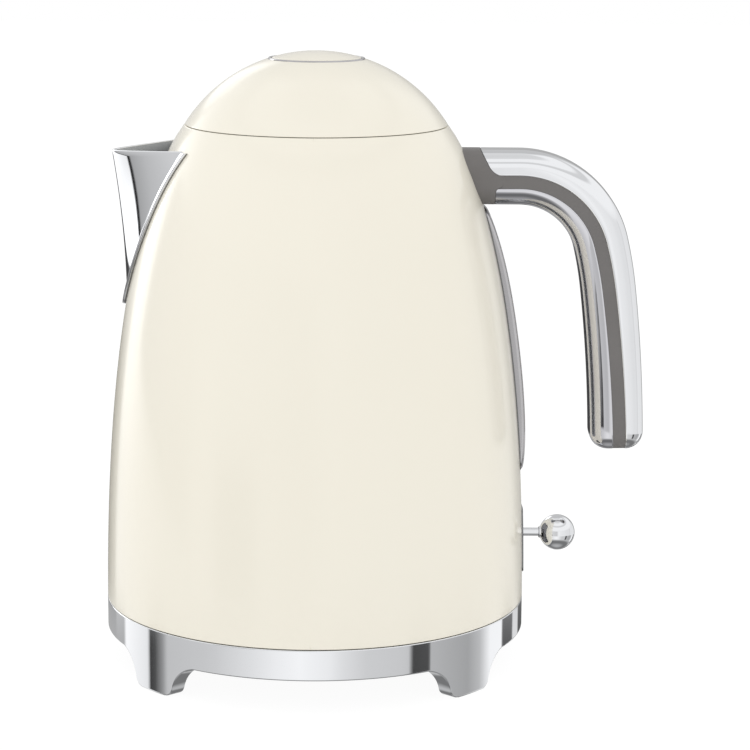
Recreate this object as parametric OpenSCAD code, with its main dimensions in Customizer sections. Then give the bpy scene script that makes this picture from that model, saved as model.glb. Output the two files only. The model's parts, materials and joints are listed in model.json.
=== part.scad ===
// Domed electric kettle on a four-footed round power base.
// Millimetres, +Z up, Z = 0 on the table, +X towards the handle, -X towards the spout.
// The origin is under the middle of the whole outline, so the kettle's own axis lies at X = axis_x.

/* [Kettle body] */
// Height from the table to the top of the lid button
kettle_h = 249.4; // [230:0.1:270]
// Outer radius of the body and of the base ring
body_r = 85.7; // [80:0.1:95]
// Thickness of the painted steel wall
wall_t = 1.0; // [0.6:0.1:2]
// Fullness of the wall curve between the base and the lid seam
wall_fullness = 0.82; // [0.7:0.01:0.88]
// Height of the closed lid's dome above its seam
lid_h = 29.3; // [26:0.1:32]
// Radius of the sphere that the lid is cut from
dome_r = 62.4; // [60:0.1:70]
// Open joint between two painted or plated pieces that part
joint_gap = 0.5; // [0.4:0.1:1]
// Least clearance between pieces that move past each other
run_gap = 0.4; // [0.3:0.1:0.6]

/* [Power base] */
// Height of the base ring's top edge
base_h = 26.2; // [22:0.1:30]
// Height of the base ring's lower edge between the feet
skirt_z = 13.9; // [10:0.1:15]
// Thickness of the base ring's wall
ring_t = 4; // [3:0.5:6]
// Thickness of a foot, measured towards the axis
foot_t = 6.5; // [5:0.5:9]
// Width of a foot where it meets its pad
foot_w = 21.8; // [16:0.2:26]
// Angle of each foot from the Y axis
foot_angle = 47.5; // [43:0.5:50]
// Radius of a foot's rounded lower corners
foot_corner_r = 4; // [1:0.5:5]
// Height that a rubber pad stands out below its foot
pad_proud = 0.6; // [0.4:0.1:1]
// Depth that a rubber pad is let into its foot
pad_inset = 1; // [0.5:0.1:2]
// Thickness of the base's top plate
deck_t = 2.2; // [1.5:0.1:3]
// Drop of the top plate's face below the ring's top edge
deck_drop = 2; // [1:0.1:3]
// Thickness of the base's bottom cover
cover_t = 2; // [1.5:0.1:3]
// Height of the bottom cover above the ring's lower edge
cover_rise = 0.8; // [0.4:0.1:1.2]
// Distance of the base screws from the axis
base_screw_circle = 66; // [50:1:70]

/* [Connector] */
// Outer radius of the connector post on the base
post_r = 15.5; // [13:0.1:18]
// Height of the connector post above the top plate
post_rise = 13; // [10:0.5:16]
// Thickness of a brass contact
contact_t = 0.8; // [0.5:0.1:1]
// Radius of the kettle's middle contact pin
pin_r = 2; // [1.5:0.1:2.5]
// Outer radius of the kettle's ring contact
ring_pin_r = 7.7; // [7:0.1:9]
// Wall of the kettle's socket
socket_t = 1.8; // [1.2:0.1:2.5]
// Width of the socket's flange
socket_flange = 5; // [3:0.5:8]

/* [Cord outlet] */
// Bore of the cord outlet
cord_r = 3.5; // [2.5:0.1:4.2]
// Wall of the cord outlet
outlet_t = 1.7; // [1.2:0.1:2]
// Length of the cord outlet
outlet_l = 18; // [12:1:24]
// Depth of the outlet's inner end inside the ring's face
outlet_depth = 31.7; // [28:0.1:37]
// Radius of an insulated wire inside the base
wire_r = 1.2; // [0.8:0.1:1.4]
// Spacing of the wires inside the base
wire_pitch = 4.5; // [4:0.1:6]

/* [Heater and control] */
// Height of the water chamber's floor above the kettle's lower edge
heater_rise = 35; // [33:0.5:45]
// Thickness of the water chamber's floor
heater_t = 1.2; // [0.8:0.1:2]
// Radius of the aluminium heat spreader
spreader_r = 48; // [47:0.5:50]
// Thickness of the heat spreader
spreader_t = 3; // [2:0.5:4]
// Radius of the heating element's bend
element_r = 42; // [40:0.5:43]
// Radius of the heating element's tube
element_tube_r = 3.8; // [3:0.1:4.2]
// Angle that the heating element runs round
element_angle = 300; // [270:5:320]
// Radius of the control unit
control_r = 26; // [24:0.5:30]
// Radius of a bimetal disc
disc_r = 8; // [6:0.5:10]
// Thickness of the plastic base of the kettle
housing_t = 2; // [1.5:0.1:3]
// Height of the plastic base's rim
housing_rim = 11; // [8:0.5:14]
// Outer radius of the steam tube
steam_r = 4; // [3:0.1:4.5]
// Wall of the steam tube
steam_t = 1; // [0.5:0.1:1.5]

/* [Switch lever] */
// Height of the lever's pivot above the kettle's lower edge
lever_rise = 25.2; // [24:0.1:26]
// Depth of the lever's pivot inside the body's face
pivot_depth = 15.7; // [13.7:0.1:17.7]
// Distance of the lever ball's centre from the body's face
ball_reach = 14.2; // [11:0.1:18]
// Radius of the lever's ball
ball_r = 7.3; // [6:0.1:8]
// Radius of the lever's rod
rod_r = 1.7; // [1.2:0.1:2.5]
// Angle that the lever turns down to switch on
lever_swing = 18; // [10:1:18]
// Length of the lever's inner arm
lever_arm = 8; // [7:0.5:8.5]
// Radius of the pivot pins of the lever and of the lid
pivot_r = 1.5; // [1.2:0.1:1.8]
// Height of the lever's slot plate
plate_h = 26; // [22:0.5:28]
// Width of the lever's slot plate
plate_w = 15; // [12:0.5:20]
// Thickness of the lever's slot plate
plate_t = 0.6; // [0.4:0.1:1]

/* [Spout] */
// Height of the spout from its foot to its rim
spout_h = 60.5; // [50:0.5:66]
// Drop of the spout's tip below the top of the kettle
spout_drop = 40.3; // [39:0.1:42]
// Rise of the spout's rim from its tip to its roots
rim_rise = 2.2; // [0:0.1:3]
// Half of the spout's width where its rim meets the body
spout_w = 27; // [22:0.5:30]
// Forward lean of the spout's ridge from its foot to its rim
spout_lean = 5.4; // [3:0.1:8]
// Curve of the ridge, where 1 is straight
ridge_power = 1.85; // [1.2:0.05:2.2]
// Roundness of the ridge, as a share of the spout's half width
ridge_round = 0.16; // [0.08:0.01:0.4]
// Thickness of the spout's wall
spout_t = 1.2; // [0.8:0.1:1.6]
// Width of the trim along the spout's root
trim_w = 4; // [2:0.1:5]
// Height of the trim above the body
trim_t = 1.6; // [0.6:0.1:2]
// Margin of the pouring opening inside the spout's root
pour_margin = 4; // [3:0.5:8]

/* [Filter] */
// Thickness of the filter's frame
filter_t = 2; // [1.5:0.1:3]
// Width of the filter frame's border
filter_border = 4; // [3:0.5:6]
// Thickness of the filter's mesh
mesh_t = 0.5; // [0.4:0.1:0.8]
// Pitch of the openings in the filter's mesh
mesh_pitch = 3; // [2.5:0.1:5]
// Width of one opening in the filter's mesh
mesh_hole = 2; // [1:0.1:2.2]

/* [Handle] */
// Drop of the handle's upper run below the top of the kettle, to its middle
handle_drop = 49.7; // [48:0.1:53]
// Distance from the axis to the end of the handle's upper run
handle_run = 81.5; // [76:0.1:90]
// Radius of the handle's upper bend
bend_r = 34.5; // [28:0.1:45]
// Angle of the handle's upper bend
bend_angle = 76.2; // [60:0.1:80]
// Radius of the handle's second bend
sweep_r = 162.8; // [70:0.1:200]
// Angle of the handle's second bend
sweep_angle = 6.8; // [4:0.1:14]
// Radius of the handle's nearly straight leg
leg_r = 605; // [500:5:1500]
// Length of the handle's nearly straight leg
leg_l = 65.9; // [60:0.1:84]
// Depth of the handle's section, from the hand side to the outside
handle_d = 22; // [18:0.5:26]
// Width of the handle's section
handle_w = 24; // [20:0.5:28]
// Radius of the handle section's corners
handle_corner_r = 8; // [5:0.5:9]
// Radius of the corners at the handle's free end
handle_end_r = 7; // [4:0.5:9]
// Width of the grey strip along the handle's side
strip_w = 5.1; // [4:0.1:8]
// Shift of the grey strip towards the hand side at the mount
strip_shift = 1.2; // [0:0.1:2]
// Drift of the grey strip towards the outside, from the mount to the free end
strip_drift = 2.2; // [0:0.1:2.5]
// Depth of the grey strip below the plated shells
strip_depth = 0.5; // [0.2:0.1:1]
// Wall of the handle's plated shells
handle_t = 1.6; // [1.2:0.1:2.4]
// Distance from the axis to the start of the plated shells
shell_start = 72; // [71:0.5:76]
// Slope of the outer shell's front edge
shell_slope = 28; // [15:1:35]
// Radius of a handle screw
screw_r = 1.8; // [1.4:0.1:2.2]

/* [Water gauge] */
// Height of the gauge's lower end above the table
gauge_z = 79.4; // [72:0.1:90]
// Width of the gauge's frame
gauge_w = 19; // [15:0.5:24]
// Gap between the gauge's frame and the handle's mount
gauge_gap = 1; // [0.5:0.1:5]
// Height of the gauge's frame above the body, at its middle
gauge_proud = 3.5; // [2:0.1:4]
// Depth of the gauge's window below the crown of its frame
window_drop = 1; // [0.5:0.1:1.5]
// Width of the gauge frame's border
gauge_border = 4; // [3:0.5:5]

/* [Lid] */
// Thickness of the lid's painted dome
dome_t = 1.2; // [0.8:0.1:2]
// Distance from the filling opening's edge to the lid's hinge
mouth_gap = 14; // [13.5:0.1:15]
// Thickness of the lid's inner cover
inner_t = 2; // [1.5:0.1:2.5]
// Depth of the lid's hinge inside the body's wall
hinge_inset = 4.0; // [3.6:0.1:4.4]
// Drop of the lid's hinge below the lid seam
hinge_drop = 10.2; // [9.8:0.1:10.6]
// Radius of the hinge knuckles
knuckle_r = 2.6; // [2.4:0.1:2.8]
// Thickness of a hinge arm
arm_t = 3.5; // [2.5:0.1:3.5]
// Half of the notch in the collar for the hinge
notch_y = 9.6; // [9.4:0.1:11]
// Outer radius of the button's ring
button_ring_r = 19.4; // [17:0.1:21]
// Wall of the button's ring
button_ring_t = 1.2; // [0.8:0.1:2]
// Travel of the button
button_travel = 3; // [2:0.1:3]
// Radius of the button's stem
stem_r = 4; // [3.5:0.1:4.5]
// Width of the latch bolt
bolt_w = 10; // [9:0.5:14]
// Thickness of the latch bolt
bolt_t = 3; // [2.5:0.1:3.2]

/* [Hidden] */

$fn = 96;
cream = [0.94, 0.93, 0.87];
chrome = [0.80, 0.81, 0.83];
steel = [0.66, 0.67, 0.69];
grey = [0.45, 0.44, 0.44];
black = [0.12, 0.12, 0.13];
brass = [0.78, 0.62, 0.30];
ivory = [0.90, 0.88, 0.80];
wire_red = [0.60, 0.16, 0.12];
clear = [0.75, 0.80, 0.82, 0.5];
eps = 0.01;

// Heights of the lid and of the lower rim of the kettle
seam_z = kettle_h - lid_h;
dome_z = kettle_h - dome_r;
seam_r = sqrt(dome_r * dome_r - pow(seam_z - dome_z, 2));
shell_top = seam_z - joint_gap / 2;
lid_z = seam_z + joint_gap / 2;
kettle_z = base_h + joint_gap;

// The wall is one cubic curve: upright at the base, tangent to the lid's sphere at the seam
curve_z = base_h - 4.8;
curve_end = 2;
curve_steps = 48;
CURVE = [[body_r, curve_z],
    [body_r, curve_z + wall_fullness * (seam_z - curve_z)],
    [seam_r, seam_z] + curve_end * [seam_z - dome_z, -seam_r] / dome_r,
    [seam_r, seam_z]];
function bezier(s) = pow(1 - s, 3) * CURVE[0] + 3 * pow(1 - s, 2) * s * CURVE[1]
    + 3 * (1 - s) * s * s * CURVE[2] + pow(s, 3) * CURVE[3];
function bezier_slope(s) = pow(1 - s, 2) * (CURVE[1] - CURVE[0])
    + 2 * (1 - s) * s * (CURVE[2] - CURVE[1]) + s * s * (CURVE[3] - CURVE[2]);
function wall_point(s, inset) = let (d = bezier_slope(s), l = norm(d))
    bezier(s) + inset * [-d[1], d[0]] / l;
function wall_table(inset) = [for (i = [0:curve_steps]) let (p = wall_point(i / curve_steps, inset)) [p[1], p[0]]];
// Radius of the body at height z, moved inwards by inset
function wall_r(z, inset = 0) = lookup(z, wall_table(inset));
// The same line as points of a section from z0 up to z1
function wall_line(z0, z1, inset) = concat([[wall_r(z0, inset), z0]],
    [for (p = wall_table(inset)) if (p[0] > z0 + eps && p[0] < z1 - eps) [p[1], p[0]]],
    [[wall_r(z1, inset), z1]]);
function reversed(list) = [for (i = [len(list) - 1:-1:0]) list[i]];

// Outline sizes that several pieces share
handle_z = kettle_h - handle_drop;
BEND_0 = [handle_run, handle_z];
BEND_1 = bend_end(BEND_0, 0, bend_r, bend_angle);
BEND_2 = bend_end(BEND_1, bend_angle, sweep_r, sweep_angle);
leg_start = bend_angle + sweep_angle;
leg_angle = leg_l / leg_r * 180 / PI;
BEND_3 = bend_end(BEND_2, leg_start, leg_r, leg_angle);
function bend_end(p, a, r, turn) = p + r * [sin(a + turn) - sin(a), cos(a + turn) - cos(a)];
handle_end_z = BEND_3[1];
handle_reach = BEND_3[0] + handle_d / 2;
axis_x = (body_r - handle_reach) / 2;

// Power base
ring_in = body_r - ring_t;
deck_z = base_h - deck_drop;
deck_under = deck_z - deck_t;
cover_z = skirt_z + cover_rise;
cover_top = cover_z + cover_t;
ledge_w = 4;
ledge_t = 1.6;
base_screw_r = 1.5;
base_screw_head_r = 3;
base_screw_head_h = 1.2;
post_top = deck_z + post_rise;
post_flange_t = 2;
post_flange_r = post_r + 6;
slot_floor = deck_z + 1;
wire_z = (cover_top + deck_under - post_flange_t) / 2;
outlet_y = body_r - outlet_depth;
outlet_z = (pad_proud + cover_z) / 2;
outlet_r = cord_r + outlet_t;
block_y = outlet_y - 8;
block_l = 15;
FEET = [foot_angle, 180 - foot_angle, 180 + foot_angle, -foot_angle];

// Kettle underside
housing_z = kettle_z + 1.5;
housing_top = kettle_z + housing_rim;
housing_r = wall_r(housing_top, wall_t);
floor_z = housing_z + housing_t;
rest_r = 70;
rest_w = 3;
band_r = post_r + contact_t;
earth_r = band_r + run_gap;
cup_in = earth_r + contact_t;
cup_out = cup_in + socket_t;
flange_out = cup_out + socket_flange;
socket_z = housing_z;
cup_ceiling = post_top + 2;
socket_top = cup_ceiling + socket_t;
control_z = socket_top + run_gap;
control_flange_r = control_r + 9;
control_flange_t = 2.8;
control_post_r = control_r + 5;
heater_z = kettle_z + heater_rise;
spreader_z = heater_z - spreader_t;
element_z = spreader_z - element_tube_r;
disc_t = 0.8;
disc_x = 12;
control_top = spreader_z - disc_t - 4;
steam_angle = 30;
steam_x = wall_r(seam_z - 14, wall_t) - steam_r - 1.2;

// Switch lever
lever_z = kettle_z + lever_rise;
lever_pivot_x = body_r - pivot_depth;
lever_ball_x = body_r + ball_reach;
hub_r = 4.2;
hub_y = 5.9;
ear_t = 2;
ear_y = hub_y + 0.5;
lever_tip_z = lever_z - lever_arm;
slot_reach = body_r - lever_pivot_x;
slot_top = lever_z + rod_r + run_gap;
slot_low = lever_z - slot_reach * sin(lever_swing) - rod_r / cos(lever_swing) - run_gap;
slot_w = 2 * (rod_r + run_gap);
plate_z = (slot_top + slot_low) / 2;
link_r = 1.8;
link_x = control_flange_r + lever_arm * sin(lever_swing) + 2;
guide_x = lever_pivot_x - 18;

// Spout
spout_top = kettle_h - spout_drop;
spout_z = spout_top - spout_h;
spout_levels = 18;
trim_levels = 28;
trim_gap = 0.12;
spout_half = 9;
spout_first = 0.14;
ridge_least = 0.7;
pour_top = spout_top - 4;
pour_low = spout_z + 2 * pour_margin;
pour_w = spout_w - pour_margin;

// Filter
filter_z = pour_low - filter_border;
filter_top = seam_z - 14.5;
filter_gap = 0.5;
filter_inset = wall_t + filter_gap;
filter_angle = 22;
mesh_side = 2 * wall_r(pour_top, filter_inset) * sin(filter_angle) - 2 * filter_border;

// Top collar and lid
hinge_z = seam_z - hinge_drop;
hinge_x = wall_r(hinge_z, wall_t) - hinge_inset;
mouth_r = hinge_x - mouth_gap;
collar_z = hinge_z - knuckle_r + 0.1;
collar_t = 1.5;
ledge_top = collar_z + 2;
ear_w = 3.4;
plate_low = ledge_top + 1;
plate_r = mouth_r + 2.5;
cup_top_r = plate_r + 3;
plug_low = collar_z + 0.5;
seal_t = 0.7;
plug_r = mouth_r - run_gap - seal_t;
arm_out = hinge_x - mouth_r + 0.2;
arm_in = hinge_drop + joint_gap / 2 + 0.6;
arm_y = 5;
flange_z = lid_z + 0.1;
flange_t = 1.5;
keeper_x = cup_top_r + 2;
plate_top = plate_low + inner_t;
bolt_z = plate_top + 1.5;
bolt_top = bolt_z + bolt_t;
bolt_nose = keeper_x - 0.3;
wedge_low = bolt_z + 1.8;
guide_z = bolt_top + 0.7;
guide_t = 2;
guide_r = 20;
guide_tube_r = 8;
guide_top = guide_z + 10;
guide_leg_y = 13;
lid_screw_r = 1.4;
button_r = button_ring_r - button_ring_t - 0.3;
button_edge_z = dome_z + sqrt(dome_r * dome_r - button_r * button_r);
button_floor = button_edge_z - 5.4;
skirt_low = button_floor - 4;
spring_r = 6;
spring_wire_r = 0.5;

module at_axis() translate([axis_x, 0, 0]) children();
module revolve(a0 = 0, turn = 360) rotate([0, 0, a0]) rotate_extrude(angle = turn) children();
// Round tube or disc between two heights
module ring(r_out, r_in, z0, z1) revolve() translate([r_in, z0]) square([r_out - r_in, z1 - z0]);
// Pipe wall section between two heights that follows the body's curve
module wall_section(z0, z1, inset_out, inset_in)
    polygon(concat(wall_line(z0, z1, inset_out), reversed(wall_line(z0, z1, inset_in))));
// Piece of the body's wall, half_angle to each side of the direction
module wall_band(z0, z1, inset_out, inset_in, half_angle, direction = 0)
    revolve(direction - half_angle, 2 * half_angle) wall_section(z0, z1, inset_out, inset_in);
// Solid space inside the body's curve
module inside_wall(z0, z1, inset)
    revolve() polygon(concat([[0, z0]], wall_line(z0, z1, inset), [[0, z1]]));
module round_rect(w, h, r) {
    square([w - 2 * r, h], center = true);
    square([w, h - 2 * r], center = true);
    for (x = [-1, 1], y = [-1, 1])
        translate([x * (w / 2 - r), y * (h / 2 - r)]) circle(r);
}
module along_x(x0, x1, r) translate([x0, 0, 0]) rotate([0, 90, 0]) cylinder(h = x1 - x0, r = r);
module along_y(y0, y1, r) translate([0, y1, 0]) rotate([90, 0, 0]) cylinder(h = y1 - y0, r = r);
// Flat outline in Y and Z, run along X from x0 to x1
module plate_x(x0, x1) translate([x0, 0, 0]) rotate([90, 0, 90]) linear_extrude(x1 - x0) children();
// Flat outline in X and Z, run along Y from y0 to y1
module plate_y(y0, y1) translate([0, y1, 0]) rotate([90, 0, 0]) linear_extrude(y1 - y0) children();
// Two triangles over the four corners a to d
function two_sides(a, b, c, d) = [[a, b, c], [a, c, d]];
// Closed skin through equal loops of points; each loop runs out along one side and back along the other
module skin(loops) {
    n = len(loops[0]);
    last = (len(loops) - 1) * n;
    sides = [for (i = [0:n:last - 1], j = [0:n - 1], f = two_sides(i + j, i + (j + 1) % n,
        i + n + (j + 1) % n, i + n + j)) f];
    ends = [for (j = [0:n / 2 - 2], f = concat(two_sides(n - 1 - j, n - 2 - j, j + 1, j),
        two_sides(last + j, last + j + 1, last + n - 2 - j, last + n - 1 - j))) f];
    polyhedron([for (loop = loops, p = loop) p], concat(sides, ends), convexity = 6);
}

// ---- Power base ----
module foot_outline() {
    flare = skirt_z - pad_proud + 0.2;
    flare_x = foot_w / 2 + flare;
    corner_x = flare_x - sqrt(flare * flare + 2 * flare * foot_corner_r);
    blend = [flare_x - corner_x, -foot_corner_r] / (flare + foot_corner_r) * foot_corner_r;
    difference() {
        translate([-flare_x, pad_proud]) square([2 * flare_x, flare + 1]);
        for (x = [-1, 1]) translate([x * flare_x, pad_proud]) circle(flare);
        for (x = [0, 1]) mirror([x, 0]) translate([corner_x, pad_proud + foot_corner_r]) difference() {
            polygon([[0, -foot_corner_r - 1], [flare_x - corner_x, -foot_corner_r - 1], 1.2 * blend, [0, 0]]);
            circle(foot_corner_r + 0.02);
        }
    }
}
module foot_pad_band(z0, z1, inset)
    revolve(-4, 8) translate([body_r - foot_t + inset, z0]) square([foot_t - 2 * inset, z1 - z0]);
module base_ring() at_axis() color(chrome) difference() {
    union() {
        revolve() {
            translate([ring_in, skirt_z]) square([ring_t, base_h - skirt_z]);
            translate([ring_in - ledge_w, deck_under - ledge_t]) square([ledge_w + eps, ledge_t]);
        }
        intersection() {
            ring(body_r, body_r - foot_t, pad_proud, cover_z);
            for (a = FEET) rotate([0, 0, a - 90]) plate_x(ring_in - foot_t, body_r + 1) foot_outline();
        }
    }
    for (a = FEET) rotate([0, 0, a - 90]) foot_pad_band(pad_proud - 1, pad_proud + pad_inset, 1.5);
}
module foot_pads() at_axis() color(black)
    for (a = FEET) rotate([0, 0, a - 90]) foot_pad_band(0, pad_proud + pad_inset, 1.5);
module base_screw_places() for (a = [45:90:359]) rotate([0, 0, a]) translate([base_screw_circle, 0, 0]) children();
module base_deck() at_axis() color(grey) {
    ring(ring_in, post_r + 0.1, deck_under, deck_z);
    base_screw_places() difference() {
        translate([0, 0, cover_top]) cylinder(h = deck_under - cover_top + eps, r = 3.5);
        translate([0, 0, cover_top - 1]) cylinder(h = deck_under - cover_top + 1, r = base_screw_r);
    }
}
module base_cover() at_axis() color(black) difference() {
    union() {
        ring(ring_in, 0, cover_z, cover_top);
        translate([-wire_pitch - 5, block_y, outlet_z - outlet_r - 0.4])
            cube([2 * wire_pitch + 10, block_l, cover_z - outlet_z + outlet_r + 1]);
    }
    base_screw_places() {
        translate([0, 0, cover_z - 1]) cylinder(h = base_screw_head_h + 1, r = base_screw_head_r + 0.2);
        translate([0, 0, cover_z]) cylinder(h = cover_t + 1, r = base_screw_r + 0.2);
    }
    translate([0, 0, outlet_z]) along_y(outlet_y, block_y + block_l + 1, outlet_r);
    translate([-wire_pitch - wire_r - 0.4, block_y + 2, outlet_z - cord_r])
        cube([2 * (wire_pitch + wire_r + 0.4), outlet_y - block_y - 2 + eps, 30]);
}
module base_screws() at_axis() color(steel) base_screw_places() {
    translate([0, 0, cover_z]) cylinder(h = base_screw_head_h, r = base_screw_head_r);
    translate([0, 0, cover_z + base_screw_head_h - eps])
        cylinder(h = deck_under - cover_z - base_screw_head_h, r = base_screw_r);
}
module cord_outlet() at_axis() color(black) translate([0, 0, outlet_z]) difference() {
    union() {
        along_y(outlet_y, outlet_y + outlet_l, outlet_r);
        along_y(block_y + block_l, block_y + block_l + 1.5, outlet_r + 0.4);
    }
    along_y(outlet_y - 1, outlet_y + outlet_l + 1, cord_r);
}
module base_connector() at_axis() color(black) difference() {
    union() {
        ring(post_flange_r, 0, deck_under - post_flange_t, deck_under);
        ring(post_r, 0, deck_under - post_flange_t, post_top);
    }
    translate([0, 0, slot_floor]) cylinder(h = post_top - slot_floor + 1, r = pin_r + run_gap + contact_t);
    ring(ring_pin_r + run_gap + contact_t, ring_pin_r - contact_t - run_gap, slot_floor, post_top + 1);
}
module base_contacts() at_axis() color(brass) {
    ring(pin_r + run_gap + contact_t, pin_r + run_gap, slot_floor, post_top - 2);
    ring(ring_pin_r + run_gap + contact_t, ring_pin_r + run_gap, slot_floor, post_top - 2);
    ring(band_r, post_r, deck_z + 5, post_top - 3);
    for (x = [-1:1]) translate([x * wire_pitch - wire_r, post_r - 6, wire_z - wire_r])
        cube([2 * wire_r, 5, deck_under - post_flange_t - wire_z + wire_r]);
}
module base_leads() at_axis() color(wire_red) for (x = [-1:1]) translate([x * wire_pitch, 0, 0]) {
    run_end = block_y + 2 + wire_r + 0.3;
    translate([0, 0, wire_z]) along_y(post_r - 1, run_end, wire_r);
    translate([0, run_end, wire_z]) sphere(wire_r);
    translate([0, run_end, outlet_z]) cylinder(h = wire_z - outlet_z, r = wire_r);
}

// ---- Socket that takes the base's post ----
module kettle_socket() at_axis() color(black) revolve() {
    translate([cup_in, socket_z]) square([flange_out - cup_in, housing_t]);
    translate([cup_in, socket_z]) square([cup_out - cup_in, socket_top - socket_z]);
    translate([0, cup_ceiling]) square([cup_out, socket_t]);
}
module socket_pins() at_axis() color(brass) {
    ring(pin_r, 0, socket_z, cup_ceiling);
    ring(ring_pin_r, ring_pin_r - contact_t, socket_z + 1, cup_ceiling);
    ring(cup_in, earth_r, socket_z + 1, post_top - 3);
}

// ---- Kettle: underside, heater and control ----
module bottom_housing() at_axis() color(black) {
    revolve() {
        translate([flange_out + run_gap, housing_z]) square([housing_r - flange_out - run_gap, housing_t]);
        translate([housing_r - 2, housing_z]) square([2, housing_top - housing_z]);
        translate([flange_out + run_gap, housing_z]) square([2, housing_t + 4]);
        translate([rest_r, deck_z + run_gap]) square([rest_w, housing_z - deck_z - run_gap + eps]);
    }
    for (a = [90, 210, 330]) rotate([0, 0, a]) translate([control_post_r, 0, floor_z - eps]) difference() {
        cylinder(h = control_z - floor_z + eps, r = 3.2);
        translate([0, 0, control_z - floor_z - 8]) cylinder(h = 9, r = base_screw_r);
    }
}
module heater_plate() at_axis() color(steel) difference() {
    revolve() {
        wall_section(heater_z - 5, heater_z + heater_t, wall_t, wall_t + heater_t);
        translate([0, heater_z]) square([wall_r(heater_z, wall_t + heater_t / 2), heater_t]);
    }
    steam_place(heater_z - 1) cylinder(h = heater_t + 2, r = steam_r);
}
module heat_spreader() at_axis() color(steel) ring(spreader_r, 0, spreader_z, heater_z);
module heating_element() at_axis() color(steel)
    revolve(180 - element_angle / 2, element_angle) translate([element_r, element_z]) circle(element_tube_r);
module element_terminals() at_axis() color(brass)
    for (side = [-1, 1]) rotate([0, 0, 180 + side * element_angle / 2])
        translate([element_r, side * 3, element_z - 9]) {
            cylinder(h = 9 + element_tube_r / 2, r = 1.6);
            translate([-3, -0.4, -5]) cube([6, 0.8, 5 + eps]);
        }
module control_unit() at_axis() color(ivory) difference() {
    union() {
        ring(control_r, 0, control_z, control_top);
        ring(control_flange_r, 0, control_z, control_z + control_flange_t);
        for (x = [-1, 1]) translate([x * disc_x, 0, control_top - eps])
            cylinder(h = spreader_z - disc_t - control_top + eps, r = disc_r + 1);
    }
    for (a = [90, 210, 330]) rotate([0, 0, a]) translate([control_post_r, 0, control_z - 1])
        cylinder(h = control_flange_t + 2, r = base_screw_r);
}
module control_screws() at_axis() color(steel)
    for (a = [90, 210, 330]) rotate([0, 0, a]) translate([control_post_r, 0, control_z]) {
        translate([0, 0, control_flange_t]) cylinder(h = 1.8, r = 2.8);
        translate([0, 0, -6]) cylinder(h = control_flange_t + 6 + eps, r = base_screw_r);
    }
module bimetal_discs() at_axis() color(steel)
    for (x = [-1, 1]) translate([x * disc_x, 0, spreader_z - disc_t]) cylinder(h = disc_t, r = disc_r);
module steam_place(z) rotate([0, 0, steam_angle]) translate([steam_x, 0, z]) children();
module steam_tube() at_axis() color(steel) steam_place(heater_z - 8) difference() {
    cylinder(h = filter_top - heater_z + 8, r = steam_r);
    translate([0, 0, -1]) cylinder(h = filter_top - heater_z + 10, r = steam_r - steam_t);
}

// ---- Kettle: switch lever and its link ----
module lever_bracket() at_axis() color(black) difference() {
    union() {
        translate([guide_x - 3, -ear_y - ear_t, floor_z])
            cube([lever_pivot_x + 10 - guide_x, 2 * (ear_y + ear_t), 2]);
        for (side = [-1, 1]) translate([lever_pivot_x - 4, side * (ear_y + ear_t / 2) - ear_t / 2, floor_z])
            cube([8, ear_t, lever_z - floor_z + 4]);
        translate([guide_x - 3, -4, floor_z]) cube([6, 8, lever_tip_z - floor_z + link_r + 1.6]);
    }
    translate([lever_pivot_x, 0, lever_z]) along_y(-20, 20, pivot_r);
    translate([0, 0, lever_tip_z]) along_x(guide_x - 5, guide_x + 5, link_r + 0.1);
}
module lever_pin() at_axis() color(steel)
    translate([lever_pivot_x, 0, lever_z]) along_y(-ear_y - ear_t, ear_y + ear_t, pivot_r);
module lever() at_axis() color(chrome) translate([lever_pivot_x, 0, lever_z]) difference() {
    union() {
        along_y(-hub_y, hub_y, hub_r);
        along_x(0, lever_ball_x - lever_pivot_x, rod_r);
        translate([-1, -2.5, -lever_arm]) cube([2, 5, lever_arm]);
        translate([0, 0, -lever_arm]) along_y(-2.5, 2.5, 1.5);
    }
    along_y(-hub_y - 1, hub_y + 1, pivot_r + 0.05);
}
module lever_ball() at_axis() color(chrome) translate([lever_ball_x, 0, lever_z]) difference() {
    sphere(ball_r);
    along_x(-ball_r - 1, 0, rod_r);
}
module lever_plate() at_axis() color(chrome) difference() {
    wall_band(plate_z - plate_h / 2, plate_z + plate_h / 2, -plate_t, 0, asin(plate_w / 2 / body_r));
    lever_slot();
}
module lever_slot() plate_x(body_r - 8, body_r + 8)
    translate([0, plate_z]) round_rect(slot_w, slot_top - slot_low, slot_w / 2 - eps);
module trip_link() at_axis() color(ivory) difference() {
    union() {
        translate([0, 0, lever_tip_z]) along_x(link_x, lever_pivot_x - 3, link_r);
        translate([lever_pivot_x - 4.2, -3.6, lever_tip_z - 3.4]) cube([8.4, 7.2, 5]);
    }
    translate([lever_pivot_x - 1.9, -4, lever_tip_z - 2]) cube([3.8, 8, lever_arm]);
}

// ---- Kettle: body, spout and filter ----
module pour_opening(w, z0, z1)
    polygon([for (k = [-1:1 / 8:1]) [w * k, z0 + (z1 - z0) * k * k]]);
module body_shell() at_axis() color(cream) difference() {
    revolve() wall_section(kettle_z, shell_top, 0, wall_t);
    plate_x(-body_r - 5, -30) pour_opening(pour_w, pour_low, pour_top);
    lever_slot();
    gauge_slot(wall_t + 1, -1);
    for (z = handle_screw_heights) translate([0, 0, z]) along_x(mount_in, body_r, screw_r + 0.1);
}
function root_x(y, z, proud = 0) = -sqrt(pow(wall_r(z) + proud, 2) - y * y);
function ridge_shape(u) = (sqrt(u * u + ridge_round * ridge_round) - ridge_round)
    / (sqrt(1 + ridge_round * ridge_round) - ridge_round);
function ridge_x(z) = min(-wall_r(spout_z) - spout_lean * pow((z - spout_z) / spout_h, ridge_power),
    -wall_r(z) - ridge_least);
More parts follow.
